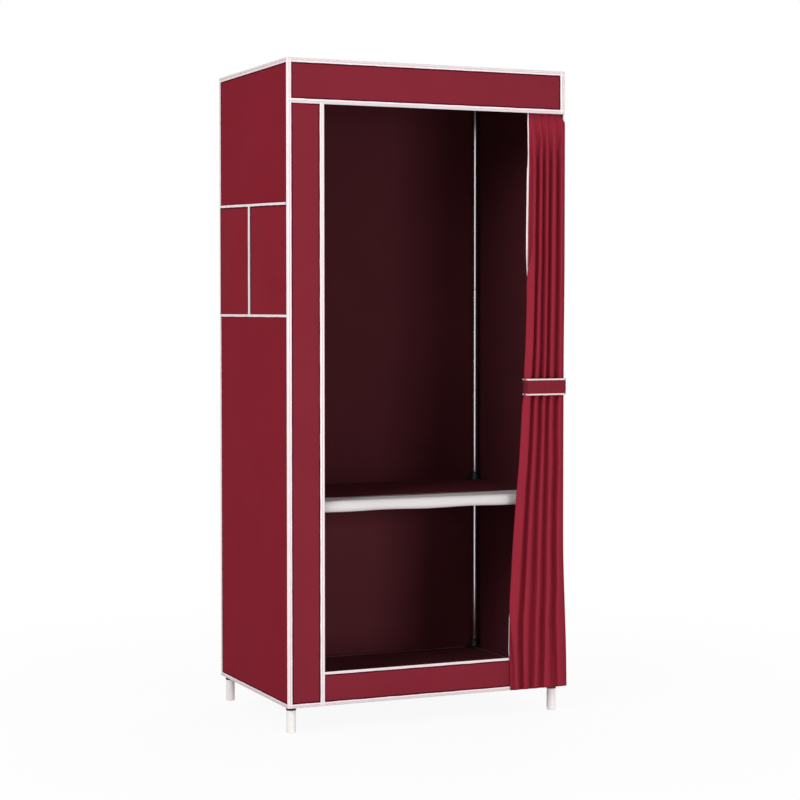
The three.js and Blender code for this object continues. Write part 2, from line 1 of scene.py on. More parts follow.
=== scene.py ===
"""The looks of a portable fabric wardrobe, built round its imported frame. Lengths are in metres."""

import math

import bmesh
import bpy
import numpy as np
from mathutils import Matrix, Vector

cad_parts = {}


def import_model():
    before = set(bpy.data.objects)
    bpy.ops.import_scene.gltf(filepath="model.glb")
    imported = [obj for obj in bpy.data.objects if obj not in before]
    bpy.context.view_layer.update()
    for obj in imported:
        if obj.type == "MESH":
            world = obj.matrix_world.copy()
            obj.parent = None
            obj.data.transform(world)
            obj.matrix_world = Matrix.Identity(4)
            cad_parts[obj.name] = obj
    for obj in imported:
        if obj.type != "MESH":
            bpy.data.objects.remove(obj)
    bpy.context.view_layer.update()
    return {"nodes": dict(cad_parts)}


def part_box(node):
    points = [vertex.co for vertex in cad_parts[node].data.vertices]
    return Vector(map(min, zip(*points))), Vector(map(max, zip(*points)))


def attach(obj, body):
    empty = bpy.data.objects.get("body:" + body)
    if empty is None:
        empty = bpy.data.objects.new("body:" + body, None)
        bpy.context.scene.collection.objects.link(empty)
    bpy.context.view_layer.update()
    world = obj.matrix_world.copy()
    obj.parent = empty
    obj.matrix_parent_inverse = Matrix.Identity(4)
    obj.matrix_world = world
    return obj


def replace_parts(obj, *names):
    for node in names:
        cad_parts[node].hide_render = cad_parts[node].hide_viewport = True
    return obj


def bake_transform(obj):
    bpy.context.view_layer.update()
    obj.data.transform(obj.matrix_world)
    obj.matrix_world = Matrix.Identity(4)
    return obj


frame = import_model()

FRAME_BODY = "frame_and_cover"
CURTAIN_BODY = "curtain_lead"
TIEBACK_BODY = "tieback"

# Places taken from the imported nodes
COVER_LO = Vector((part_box("left_panel")[0].x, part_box("valance")[0].y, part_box("left_panel")[0].z))
COVER_HI = Vector((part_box("right_panel")[1].x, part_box("back_panel")[1].y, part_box("top_panel")[1].z))
STRIP_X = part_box("front_left_strip")[1].x
SILL_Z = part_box("front_bottom_strip")[1].z
VALANCE_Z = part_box("valance")[0].z
ROD_Y = (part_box("curtain_rod")[0].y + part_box("curtain_rod")[1].y) / 2
ROD_Z = (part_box("curtain_rod")[0].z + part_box("curtain_rod")[1].z) / 2
HEM_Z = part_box("curtain")[0].z
CLOTH = 0.001
EX, EY, EZ = Vector((1, 0, 0)), Vector((0, 1, 0)), Vector((0, 0, 1))


# Materials

def linear(rgb):
    """A colour written as 0 to 255, as the linear values that a socket takes."""
    parts = [c / 255 for c in rgb]
    return tuple(c / 12.92 if c <= 0.04045 else ((c + 0.055) / 1.055) ** 2.4 for c in parts) + (1,)


class Nodes:
    """A short way to write a material's node tree."""

    def __init__(self, name):
        self.material = bpy.data.materials.new(name)
        self.material.use_nodes = True
        self.tree = self.material.node_tree
        self.shader = self.tree.nodes["Principled BSDF"]

    def add(self, kind, inputs=None, **settings):
        node = self.tree.nodes.new(kind)
        for key, value in settings.items():
            setattr(node, key, value)
        for key, value in (inputs or {}).items():
            self.put(node.inputs[key], value)
        return node

    def put(self, socket, value):
        if isinstance(value, bpy.types.NodeSocket):
            self.tree.links.new(value, socket)
        else:
            socket.default_value = value

    def set(self, **values):
        for key, value in values.items():
            self.put(self.shader.inputs[key.replace("_", " ")], value)

    def math(self, operation, a, b=0.0):
        node = self.add("ShaderNodeMath", operation=operation)
        self.put(node.inputs[0], a)
        self.put(node.inputs[1], b)
        return node.outputs[0]

    def mix(self, factor, a, b):
        node = self.add("ShaderNodeMix", data_type="RGBA")
        self.put(node.inputs[0], factor)
        self.put(node.inputs[6], a)
        self.put(node.inputs[7], b)
        return node.outputs[2]

    def noise(self, vector, scale, detail=2.0):
        node = self.add("ShaderNodeTexNoise", {"Vector": vector, "Scale": scale, "Detail": detail})
        return node.outputs["Fac"]

    def ribs(self, vector, axis, pitch):
        inputs = {"Vector": vector, "Scale": math.pi / (10 * pitch)}
        return self.add("ShaderNodeTexWave", inputs, bands_direction=axis).outputs["Fac"]

    def fade(self, value, low, high, first, last):
        inputs = {"Value": value, "From Min": low, "From Max": high, "To Min": first, "To Max": last}
        return self.add("ShaderNodeMapRange", inputs, interpolation_type="SMOOTHSTEP").outputs[0]

    def bump(self, height, distance):
        node = self.add("ShaderNodeBump", {"Height": height, "Distance": distance, "Strength": 1.0})
        self.put(self.shader.inputs["Normal"], node.outputs[0])


RIB_PITCH, RIB_RELIEF = 0.0022, 0.00018
# Heights over which the painted light below the shelf fades in.
SHELF_FADE = (0.52, 0.4)


def cloth_material(name, colour, deep, ribs=RIB_PITCH, sheen=0.03, low=None):
    """Pressed cloth: fine cross ribs, a slow change of shade and a soft sheen of its own colour. low holds the
    two colours that it fades to below the shelf: painted light, lighter there to make up for the shelf's shade."""
    n = Nodes(name)
    uv = n.add("ShaderNodeTexCoord").outputs["UV"]
    place = n.add("ShaderNodeTexCoord").outputs["Object"]
    across = n.ribs(uv, "Y", ribs)
    along = n.ribs(uv, "X", ribs * 0.62)
    weave = n.math("ADD", n.math("MULTIPLY", across, 0.7), n.math("MULTIPLY", along, 0.3))
    fibre = n.noise(uv, 900, 3.0)
    clouds = n.noise(place, 7, 3.0)
    shade = n.math("ADD", n.math("MULTIPLY", weave, 0.2), n.math("MULTIPLY", clouds, 0.5))
    shade = n.math("ADD", shade, n.math("MULTIPLY", fibre, 0.28))
    base = n.mix(shade, linear(deep), linear(colour))
    if low:
        height = n.add("ShaderNodeSeparateXYZ", {0: place}).outputs["Z"]
        share = n.fade(height, *SHELF_FADE, 0.0, 1.0)
        base = n.mix(share, base, n.mix(shade, linear(low[1]), linear(low[0])))
    n.set(Base_Color=base, Roughness=0.92)
    n.set(Sheen_Weight=sheen, Sheen_Roughness=0.6, Sheen_Tint=linear(colour), Specular_IOR_Level=0.05)
    n.bump(n.math("ADD", weave, n.math("MULTIPLY", fibre, 0.6)), RIB_RELIEF)
    return n.material


def tape_material(name, colour, deep):
    """Woven edge tape: close ribs across it and the least soiling."""
    n = Nodes(name)
    uv = n.add("ShaderNodeTexCoord").outputs["UV"]
    place = n.add("ShaderNodeTexCoord").outputs["Object"]
    ribs = n.ribs(uv, "X", 0.0012)
    soil = n.noise(place, 22, 4.0)
    shade = n.math("ADD", n.math("MULTIPLY", ribs, 0.3), n.math("MULTIPLY", soil, 0.7))
    n.set(Base_Color=n.mix(shade, linear(deep), linear(colour)), Roughness=0.85)
    n.set(Sheen_Weight=0.03, Specular_IOR_Level=0.1)
    n.bump(ribs, 0.00012)
    return n.material


def thread_material():
    n = Nodes("sewing_thread")
    place = n.add("ShaderNodeTexCoord").outputs["Object"]
    n.set(Base_Color=n.mix(n.noise(place, 300), linear((196, 186, 187)), linear((226, 217, 217))))
    n.set(Roughness=0.7)
    return n.material


def steel_material():
    """Bright plated tube, with a faint drawn grain and a little haze."""
    n = Nodes("plated_steel")
    place = n.add("ShaderNodeTexCoord").outputs["Object"]
    haze = n.noise(place, 26, 4.0)
    grain = n.noise(place, 1400, 2.0)
    n.set(Base_Color=n.mix(haze, linear((205, 206, 208)), linear((232, 232, 233))), Metallic=1.0)
    n.set(Roughness=n.math("ADD", n.math("MULTIPLY", haze, 0.12), 0.14))
    n.bump(grain, 0.00002)
    return n.material


def moulded_material(name, colour, deep, roughness):
    """Moulded plastic: a fine satin grain, and rubbed places that shine more."""
    n = Nodes(name)
    place = n.add("ShaderNodeTexCoord").outputs["Object"]
    rubbed = n.noise(place, 45, 4.0)
    grain = n.noise(place, 1800, 2.0)
    n.set(Base_Color=n.mix(rubbed, linear(deep), linear(colour)))
    n.set(Roughness=n.math("ADD", n.math("MULTIPLY", rubbed, 0.2), roughness - 0.1))
    n.bump(grain, 0.00005)
    return n.material


# The sides, back and top (COVER) and the front (COVER_FRONT) are one cloth in two colours, each set for the light on
# those faces: painted light and shade.
COVER = cloth_material("cover_cloth_side", (139, 34, 50), (121, 24, 38))
POCKET = cloth_material("pocket_cloth", (142, 37, 52), (125, 28, 41))
COVER_FRONT = cloth_material("cover_cloth_front", (134, 42, 55), (118, 34, 47))
# Painted seam shade: a dark copy of the cloth for the faces beside the tapes, under the pocket mouth and beside the
# pocket seam, standing for the shadow there.
SEAM_SHADE_PAINT = cloth_material("cover_cloth_painted_seam_shade", (90, 21, 33), (77, 15, 27))
# The inside face is painted darker than the outside as the shade inside the cover, and painted lighter below the
# shelf to make up for the shelf's shade there.
LINING = cloth_material("cover_cloth_inside", (84, 37, 43), (69, 28, 33), sheen=0.0,
                        low=((106, 50, 57), (88, 40, 46)))
# The shelf's top behind its white front band, and the sleeves on its other rails, take this dark cloth: painted
# shade.
SHELF_PAINTED_SHADE = cloth_material("shelf_cloth_painted_shade", (92, 41, 47), (80, 33, 39), sheen=0.0)
# The curtain is the cover's cloth painted lighter, to make up for the shade in its folds.
CURTAIN = cloth_material("curtain_cloth", (153, 43, 59), (135, 35, 50))
TIE = cloth_material("tieback_cloth", (129, 40, 52), (113, 32, 44))
SHELF = cloth_material("shelf_cloth_white", (224, 219, 219), (208, 202, 202), ribs=0.003)
TAPE = tape_material("binding_tape_white", (253, 243, 244), (243, 230, 232))
# Painted light: a whiter copy of the tape for the pocket tapes, to make up for the dimmer light on the left side.
TAPE_PAINTED_LIGHT = tape_material("binding_tape_painted_light", (255, 249, 250), (250, 240, 242))
# Painted shade on the tape: a grey copy for the outer welts and outline of some tapes, and a grey copy for the
# grooves, the edges and the tieback's tapes.
TAPE_PAINTED_OUTLINE = tape_material("binding_tape_painted_outline_shade", (234, 225, 226), (216, 206, 208))
TAPE_PAINTED_SHADE = tape_material("binding_tape_painted_groove_shade", (240, 224, 227), (224, 207, 211))
THREAD = thread_material()
STEEL = steel_material()
BLACK = moulded_material("connector_black", (25, 24, 25), (15, 14, 15), 0.5)
WHITE = moulded_material("foot_white", (252, 247, 246), (242, 235, 235), 0.35)


# Meshes

def smooth_step(x, low, high):
    t = np.clip((x - low) / (high - low), 0, 1)
    return t * t * (3 - 2 * t)


def make(name, points, faces, materials, uvs=None, face_materials=None, body=FRAME_BODY):
    """A smooth mesh object that rides on a body. uvs holds one pair for each point."""
    mesh = bpy.data.meshes.new(name)
    mesh.from_pydata([tuple(p) for p in points], [], [tuple(f) for f in faces])
    for material in materials:
        mesh.materials.append(material)
    if face_materials is not None:
        mesh.polygons.foreach_set("material_index", face_materials)
    mesh.polygons.foreach_set("use_smooth", [True] * len(mesh.polygons))
    if uvs is not None:
        layer = mesh.uv_layers.new(name="flat")
        corners = np.zeros(len(mesh.loops), np.int32)
        mesh.loops.foreach_get("vertex_index", corners)
        layer.data.foreach_set("uv", np.asarray(uvs, np.float32)[corners].ravel())
    mesh.validate()
    mesh.update()
    piece = bpy.data.objects.new(name, mesh)
    bpy.context.scene.collection.objects.link(piece)
    if body:
        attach(piece, body)
    return piece


def sheet(name, grid, flat, finishes, thickness=CLOTH, body=FRAME_BODY, places=None, kinds=None, rim_kind=0):
    """A closed thin cloth. grid[i, j] is its outer face, with i across and j up, and its outward side is
    that of across x up. finishes are the outer and inner materials and any that kinds gives to outer faces,
    and places are its lines' distances across and up where they aren't even."""
    across, up = grid.shape[:2]
    du = np.gradient(grid, axis=0)
    dv = np.gradient(grid, axis=1)
    normal = np.cross(du, dv)
    normal /= np.maximum(np.linalg.norm(normal, axis=2, keepdims=True), 1e-12)
    back = grid - normal * thickness
    points = np.concatenate([grid.reshape(-1, 3), back.reshape(-1, 3)])
    if places is None:
        places = (np.linspace(0, flat[0], across), np.linspace(0, flat[1], up))
    u, v = np.meshgrid(*places, indexing="ij")
    uvs = np.stack([u.ravel(), v.ravel()], axis=1)
    uvs = np.concatenate([uvs, uvs])
    index = np.arange(across * up).reshape(across, up)
    a, b, c, d = index[:-1, :-1], index[1:, :-1], index[1:, 1:], index[:-1, 1:]
    front = np.stack([a, b, c, d], axis=-1).reshape(-1, 4)
    rear = front[:, ::-1] + across * up
    rim = np.concatenate([index[:, 0], index[-1, 1:], index[-2::-1, -1], index[0, -2:0:-1]])
    after = np.roll(rim, -1)
    sides = np.stack([rim, rim + across * up, after + across * up, after], axis=1)
    faces = np.concatenate([front, rear, sides])
    outer = [0] * len(front) if kinds is None else list(kinds.ravel())
    return make(name, points, faces, finishes, uvs, outer + [1] * len(rear) + [rim_kind] * len(sides), body)


def slack(s, t, width, height, bow, seed):
    """How far a sewn panel stands off its plane: a slow swell, soft upright waves, and puckers by the seams."""
    swell = np.sin(np.pi * s) ** 0.8 * np.sin(np.pi * t) ** 0.8
    x, z = s * width, t * height
    waves = np.sin(x * 23 + seed) * np.sin(z * 5.1 + 2 * seed) + 0.6 * np.sin(x * 41 + z * 7 + 3 * seed)
    edge_x = np.minimum(x, width - x)
    edge_z = np.minimum(z, height - z)
    pucker = np.exp(-edge_x / 0.016) * np.sin(z * 240 + 3 * np.sin(z * 31 + seed))
    pucker += np.exp(-edge_z / 0.016) * np.sin(x * 240 + 3 * np.sin(x * 29 + seed))
    pinned = np.clip(np.minimum(edge_x, edge_z) / 0.004, 0, 1)
    return (bow * swell + 0.00035 * waves * swell + 0.0003 * pucker) * pinned


GRID_STEP = 0.006
# Beside each tape the cloth dips in a pinch, and the faces there take a painted seam shade.
PINCH = 0.0016
PINCH_WIDTH = 0.00185
PINCH_DEPTH = 0.0005
SEAM_BAND = 0.0038


def panel_lines(length, tapes):
    """Grid lines along one side of a panel, with more of them beside each tape's inner edge."""
    lines = list(np.linspace(0, length, max(int(length / GRID_STEP), 2) + 1))
    for width, place in zip(tapes, (lambda d: d, lambda d: length - d)):
        if width is None:
            continue
        extra = [place(max(width + d, 0)) for d in (-0.0004, PINCH, SEAM_BAND - 0.0004, 2 * SEAM_BAND)]
        lines = [x for x in lines if min(abs(x - e) for e in extra) > 0.0012 or x in (0, length)] + extra
    return np.unique(np.clip(np.round(lines, 6), 0, length))


def seam_share(d, tapes, length):
    """How near a place is to the pinch beside a tape, from 0 to 1."""
    share = np.zeros_like(d)
    for width, from_edge in zip(tapes, (d, length - d)):
        if width is not None:
            share = np.maximum(share, np.exp(-((from_edge - width - PINCH) / PINCH_WIDTH) ** 2))
    return share


def panel(name, corner, across, up, width, height, bow, seed, sides, ends, outside=COVER):
    """A flat panel of the cover, its outer face on the plane through corner. sides and ends are the widths
    of the tapes along its two sides, and along its foot and top."""
    xs, zs = panel_lines(width, sides), panel_lines(height, ends)
    x, z = np.meshgrid(xs, zs, indexing="ij")
    rise = slack(x / width, z / height, width, height, bow, seed)
    rise = rise - PINCH_DEPTH * np.maximum(seam_share(x, sides, width), seam_share(z, ends, height))
    grid = np.array(corner) + x[..., None] * np.array(across) + z[..., None] * np.array(up)
    grid = grid + rise[..., None] * np.array(across.cross(up))
    mid_x, mid_z = np.meshgrid((xs[:-1] + xs[1:]) / 2, (zs[:-1] + zs[1:]) / 2, indexing="ij")
    # The faces by the pinch take the dark cloth: painted shade.
    seam = np.maximum(seam_share(mid_x, sides, width), seam_share(mid_z, ends, height))
    kinds = np.where(seam > 0.35, 2, 0)
    piece = sheet(name, grid, (width, height), [outside, LINING, SEAM_SHADE_PAINT], places=(xs, zs), kinds=kinds)
    return piece


# Cover panels

L, R = COVER_LO.x, COVER_HI.x
F, B = COVER_LO.y, COVER_HI.y
H, T = COVER_LO.z, COVER_HI.z
CORNER_TAPE, OPENING_TAPE, VALANCE_TAPE, CROWN_TAPE = 0.010, 0.010, 0.0095, 0.0085
SILL_TAPE, HEM_TAPE, SIDE_TAPE, CREST_TAPE, WRAP, POST_TAPE = 0.005, 0.008, 0.006, 0.009, 0.0022, 0.0045

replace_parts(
    panel("cover_left", (L, B, H), -EY, EZ, B - F, T - H, 0.0012, 1.0, (SIDE_TAPE, WRAP), (HEM_TAPE, CREST_TAPE)),
    "left_panel")
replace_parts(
    panel("cover_right", (R, F, H), EY, EZ, B - F, T - H, 0.0012, 2.0, (POST_TAPE, SIDE_TAPE), (HEM_TAPE, SIDE_TAPE)),
    "right_panel")
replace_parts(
    panel("cover_back", (R, B, H), -EX, EZ, R - L, T - H, 0.0015, 3.0, (SIDE_TAPE, SIDE_TAPE), (HEM_TAPE, SIDE_TAPE)),
    "back_panel")
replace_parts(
    panel("cover_top", (L, F, T), EX, EY, R - L, B - F, -0.0006, 4.0, (SIDE_TAPE, SIDE_TAPE), (SIDE_TAPE, SIDE_TAPE)),
    "top_panel")
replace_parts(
    panel("cover_valance", (L, F, VALANCE_Z), EX, EZ, R - L, T - VALANCE_Z, 0.0008, 5.0,
          (CORNER_TAPE, CORNER_TAPE), (VALANCE_TAPE, CROWN_TAPE), COVER_FRONT),
    "valance")
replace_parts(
    panel("cover_left_strip", (L, F, H), EX, EZ, STRIP_X - L, VALANCE_Z - H, 0.0006, 6.0,
          (CORNER_TAPE, OPENING_TAPE), (HEM_TAPE, 0), COVER_FRONT),
    "front_left_strip")
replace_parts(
    panel("cover_bottom_strip", (STRIP_X, F, H), EX, EZ, R - STRIP_X, SILL_Z - H, 0.0006, 7.0,
          (0, None), (HEM_TAPE, SILL_TAPE), COVER_FRONT),
    "front_bottom_strip")


# Binding tape and its stitching

# Tape finishes: plain, painted shade on an outer welt, and painted shade in the groove and on the edges.
PLAIN, OUTLINE_SHADE, EDGE_AND_GROOVE_SHADE = 0, 1, 2
TAPE_RISE = 0.0015
STITCH_PITCH, STITCH_LENGTH, STITCH_THICK = 0.0042, 0.0027, 0.00032


def tape_line(width, rise, outer=PLAIN):
    """The outer line of a tape's section, from its outer edge in: two soft welts and a sewn groove between.
    Each point has the finish of the stretch that follows it: the groove and both edges are painted with shade, and
    outer may paint the outer welt with shade too."""
    half = width / 2
    g = 0.0005 if width > 0.007 else width * 0.035
    return [
        (0, 0.45 * rise, EDGE_AND_GROOVE_SHADE), (0.05 * width, 0.85 * rise, outer), (0.2 * width, rise, outer),
        (half - 2.2 * g, 0.95 * rise, EDGE_AND_GROOVE_SHADE), (half - g, 0.3 * rise, EDGE_AND_GROOVE_SHADE), (half + g, 0.3 * rise, EDGE_AND_GROOVE_SHADE),
        (half + 2.2 * g, 0.95 * rise, PLAIN), (0.8 * width, rise, PLAIN), (0.95 * width, 0.85 * rise, PLAIN),
        (width, 0.35 * rise, EDGE_AND_GROOVE_SHADE),
    ]


def turned_back(line):
    """The same line from its far end, each stretch keeping its finish."""
    kinds = [kind for _, _, kind in line]
    return [(a, b, kinds[i - 1]) for i, (a, b, _) in reversed(list(enumerate(line)))]


def swept(points, faces, uvs, kinds, start, end, e1, e2, section, wobble, seed):
    """Adds a closed section, given along e1 and e2, swept from start to end. Its far edge wanders a little."""
    run = Vector(end) - Vector(start)
    stations = max(int(run.length / 0.008), 1) + 1
    base, size = len(points), len(section)
    reach = max(abs(a) for a, _, _ in section)
    for i in range(stations):
        share = i / (stations - 1)
        at = Vector(start) + run * share
        d = share * run.length
        drift = wobble * (math.sin(d * 61 + seed) + 0.6 * math.sin(d * 143 + 2.3 * seed))
        for k, (a, b, _) in enumerate(section):
            points.append(at + e1 * (a + drift * a / reach) + e2 * b)
            uvs.append((d, k * 0.001))
    for i in range(stations - 1):
        for k in range(size):
            a, b = base + i * size + k, base + i * size + (k + 1) % size
            faces.append((a, b, b + size, a + size))
            kinds.append(section[k][2])
    faces.append(tuple(base + k for k in reversed(range(size))))
    faces.append(tuple(base + (stations - 1) * size + k for k in range(size)))
    kinds += [PLAIN, PLAIN]


def stitches(points, faces, start, end, out, lift):
    """Adds a row of small raised stitches from start to end."""
    run = Vector(end) - Vector(start)
    along = run.normalized()
    side = along.cross(out)
    tip = along * STITCH_LENGTH / 2
    count = int(run.length / STITCH_PITCH)
    for i in range(count):
        middle = Vector(start) + along * (i + 0.5) * run.length / count + out * lift
        base = len(points)
        points.append(middle - tip)
        for shift in (-0.3, 0.3):
            centre = middle + along * STITCH_LENGTH * shift
            for a, b in ((1, 0), (0, 1), (-1, 0), (0, -1)):
                points.append(centre + side * a * STITCH_THICK + out * b * STITCH_THICK)
        points.append(middle + tip)
        for k in range(4):
            j = (k + 1) % 4
            faces.append((base, base + 1 + j, base + 1 + k))
            faces.append((base + 1 + k, base + 1 + j, base + 5 + j, base + 5 + k))
            faces.append((base + 9, base + 5 + k, base + 5 + j))


class Trim:
    """Tape and stitching gathered into one piece each."""

    def __init__(self):
        self.points, self.faces, self.uvs, self.kinds = [], [], [], []
        self.stitch_points, self.stitch_faces = [], []
        self.count = 0

    def sweep(self, start, end, e1, e2, section, wobble=0.00018):
        self.count += 1
        swept(self.points, self.faces, self.uvs, self.kinds, start, end, e1, e2, section, wobble, self.count * 1.7)

    def stitch(self, start, end, middle, out, rise):
        """Stitches in a tape's groove, whose middle is that far from the line start-end."""
        ends = (Vector(start) + middle, Vector(end) + middle)
        stitches(self.stitch_points, self.stitch_faces, *ends, out, 0.4 * rise)

    def flat(self, start, end, inward, out, width, rise=TAPE_RISE):
        """A tape on one face, from the line start-end, its width going inward."""
        line = tape_line(width, rise)
        self.sweep(start, end, inward, out, [*line, (width, -0.0002, PLAIN), (0, -0.0002, PLAIN)])
        self.stitch(start, end, inward * width / 2, out, rise)

    def folded(self, start, end, inward, out, width, rise=TAPE_RISE, back=0.006, outer=PLAIN):
        """A tape folded round a raw edge: its width on the outer face, and a narrower return inside."""
        line = turned_back(tape_line(width, rise, outer))
        under = CLOTH + 0.0007
        bend = [(-0.0007, 0.2 * rise), (-0.0009, -CLOTH / 2), (-0.0006, -under + 0.0002), (0, -under)]
        inside = [(back, -under + 0.0002), (back, -CLOTH + 0.0003), (0.0003, -CLOTH + 0.0003), (0.0003, -0.0002)]
        section = [*line[:-1], (*line[-1][:2], outer)]
        section += [(a, b, outer) for a, b in bend] + [(a, b, PLAIN) for a, b in inside] + [(width, -0.0002, PLAIN)]
        self.sweep(start, end, inward, out, section)
        self.stitch(start, end, inward * width / 2, out, rise)

    def cornered(self, start, end, e1, e2, width1, width2, outer=PLAIN):
        """A tape over an outer corner. e1 and e2 go from the corner into its two faces."""
        rise = TAPE_RISE
        first = [(a, -b, kind) for a, b, kind in turned_back(tape_line(width1, rise, outer))][:-1]
        second = [(-b, a, kind) for a, b, kind in tape_line(width2, rise, outer)][1:]
        bend = [(-rise * math.sin(t), -rise * math.cos(t), outer) for t in (0.2, 0.6, 0.97, 1.37)]
        section = [*first, *bend, *second, (0.0002, width2, PLAIN), (0.0002, 0.0002, PLAIN), (width1, 0.0002, PLAIN)]
        self.sweep(start, end, e1, e2, section, wobble=0.0001)
        for inward, out, width in ((e1, -e2, width1), (e2, -e1, width2)):
            if width > 0.004:
                self.stitch(start, end, inward * width / 2, out, rise)

    def finish(self, name, *nodes, plain=TAPE):
        piece = make(name, self.points, self.faces, [plain, TAPE_PAINTED_OUTLINE, TAPE_PAINTED_SHADE], self.uvs, self.kinds)
        crease = piece.modifiers.new("crease", "EDGE_SPLIT")
        crease.split_angle = math.radians(50)
        if nodes:
            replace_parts(piece, *nodes)
        sewing = make(f"{name}_stitching", self.stitch_points, self.stitch_faces, [THREAD])


# Tapes given outer take the painted outline shade on their outer welt and bend.
front = Trim()
front.cornered((L, F, H), (L, F, T), EX, EY, CORNER_TAPE, WRAP)
front.cornered((R, F, VALANCE_Z), (R, F, T), -EX, EY, CORNER_TAPE, WRAP, outer=OUTLINE_SHADE)
front.cornered((L, F, T), (R, F, T), -EZ, EY, CROWN_TAPE, SIDE_TAPE, outer=OUTLINE_SHADE)
front.folded((L + 0.002, F - 0.0001, VALANCE_Z), (R - 0.002, F - 0.0001, VALANCE_Z), EZ, -EY, VALANCE_TAPE,
             outer=OUTLINE_SHADE)
front.folded((STRIP_X, F, H), (STRIP_X, F, VALANCE_Z + 0.001), -EX, -EY, OPENING_TAPE)
front.folded((STRIP_X, F, SILL_Z), (R, F, SILL_Z), -EZ, -EY, SILL_TAPE)
front.folded((L, F, H), (R, F, H), EZ, -EY, HEM_TAPE, outer=OUTLINE_SHADE)
front.finish("front_tape", "front_binding")

body_tape = Trim()
body_tape.cornered((L, B, H), (L, B, T), -EY, EX, SIDE_TAPE, SIDE_TAPE)
body_tape.cornered((R, B, H), (R, B, T), -EX, -EY, SIDE_TAPE, SIDE_TAPE)
body_tape.cornered((L, F, T), (L, B, T), EX, -EZ, SIDE_TAPE, CREST_TAPE, outer=OUTLINE_SHADE)
body_tape.cornered((R, F, T), (R, B, T), -EZ, -EX, SIDE_TAPE, SIDE_TAPE)
body_tape.cornered((L, B, T), (R, B, T), -EY, -EZ, SIDE_TAPE, SIDE_TAPE)
body_tape.folded((L, B, H), (L, F, H), EZ, -EX, HEM_TAPE, outer=OUTLINE_SHADE)
body_tape.folded((R, F, H), (R, B, H), EZ, EX, HEM_TAPE, outer=OUTLINE_SHADE)
body_tape.folded((R, B, H), (L, B, H), EZ, EY, HEM_TAPE, outer=OUTLINE_SHADE)
body_tape.folded((R, F, H), (R, F, VALANCE_Z), EY, EX, POST_TAPE, back=0.004)
body_tape.finish("cover_tape", "body_binding")


# Side pockets

POCKET_LO, POCKET_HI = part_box("pocket_panel")
DIVIDER_Y = F + 0.25
POCKET_BULGE = 0.0074
POCKET_TAPE = 0.0048
FOOT_TAPE = 0.0056
FOOT_TAPE_Z = POCKET_LO.z + 0.0036
DIVIDER_TAPE = 0.009
POCKET_SHADE = 0.007
MOUTH_SLOPE = 0.027
FOOT_BOW = 0.06


def mouth_z(y):
    """The height of the pockets' open edge, which rises a little towards the back."""
    return POCKET_HI.z + MOUTH_SLOPE * (y - (POCKET_LO.y + POCKET_HI.y) / 2)


def pocket_rise(y, t):
    """How far the pocket's cloth stands off the side at one place along it and one share of its height."""
    front_bay = y < DIVIDER_Y
    lo = np.where(front_bay, POCKET_LO.y, DIVIDER_Y)
    hi = np.where(front_bay, DIVIDER_Y, POCKET_HI.y)
    s = np.clip((y - lo) / (hi - lo), 0, 1)
    fill = smooth_step(t, 0, 0.3)
    sag = 1 - 0.18 * np.clip((t - 0.72) / 0.28, 0, 1) ** 2
    bow = np.sin(np.pi * s) ** 1.6 * (FOOT_BOW + (1 - FOOT_BOW) * fill) * sag
    ripple = 0.0004 * np.sin(s * 19 + t * 5) * np.sin(np.pi * s) * np.sin(np.pi * t)
    return 0.0008 + (POCKET_BULGE - 0.0012) * bow + ripple


def pocket():
    """The two pockets' outer cloth, with painted shade under its mouth tape and beside the seam."""
    size = (POCKET_HI.y - POCKET_LO.y, POCKET_HI.z - POCKET_LO.z)
    beside = [DIVIDER_Y + side * (DIVIDER_TAPE / 2 + d) for side in (-1, 1) for d in (0, POCKET_SHADE)]
    below = [1 - (POCKET_TAPE + d) / size[1] for d in (0, SEAM_BAND)]
    ys = np.unique([*np.linspace(POCKET_LO.y, POCKET_HI.y, 97), *beside])[::-1]
    ts = np.unique([*np.linspace(0, 1, 53), *below])
    y, t = np.meshgrid(ys, ts, indexing="ij")
    z = POCKET_LO.z + t * (mouth_z(y) - POCKET_LO.z)
    grid = np.stack([L - 0.0008 - pocket_rise(y, t), y, z], axis=-1)
    mid_y, mid_t = np.meshgrid((ys[:-1] + ys[1:]) / 2, (ts[:-1] + ts[1:]) / 2, indexing="ij")
    shade = (np.abs(mid_y - DIVIDER_Y) < DIVIDER_TAPE / 2 + POCKET_SHADE) | (mid_t > below[1])
    piece = sheet("side_pockets", grid, size, [POCKET, LINING, SEAM_SHADE_PAINT], thickness=0.0008,
                  places=(POCKET_HI.y - ys, ts * size[1]), kinds=np.where(shade, 2, 0))
    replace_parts(piece, "pocket_panel")


def pocket_tape():
    """Tape along the open top, which follows its bow, along the foot, and down the seam between."""
    trim = Trim()
    ys = np.linspace(POCKET_LO.y + 0.002, POCKET_HI.y, 41)
    for y0, y1 in zip(ys[:-1], ys[1:]):
        ends = [(L - 0.0012 - float(pocket_rise(np.array(y), np.array(1.0))), y, mouth_z(y)) for y in (y0, y1)]
        trim.folded(*ends, -EZ, -EX, POCKET_TAPE, rise=0.0011, back=0.004)
    foot = L - 0.0018
    trim.flat((foot, POCKET_LO.y, FOOT_TAPE_Z), (foot, POCKET_HI.y, FOOT_TAPE_Z), -EZ, -EX, FOOT_TAPE)
    seam, side = foot - 0.0004, DIVIDER_Y - DIVIDER_TAPE / 2
    trim.flat((seam, side, POCKET_LO.z), (seam, side, POCKET_HI.z - 0.004), EY, -EX, DIVIDER_TAPE, rise=0.0022)
    # The pocket tapes take the whiter copy of the tape: painted light.
    trim.finish("pocket_tape", plain=TAPE_PAINTED_LIGHT)


pocket()
pocket_tape()


# Curtain

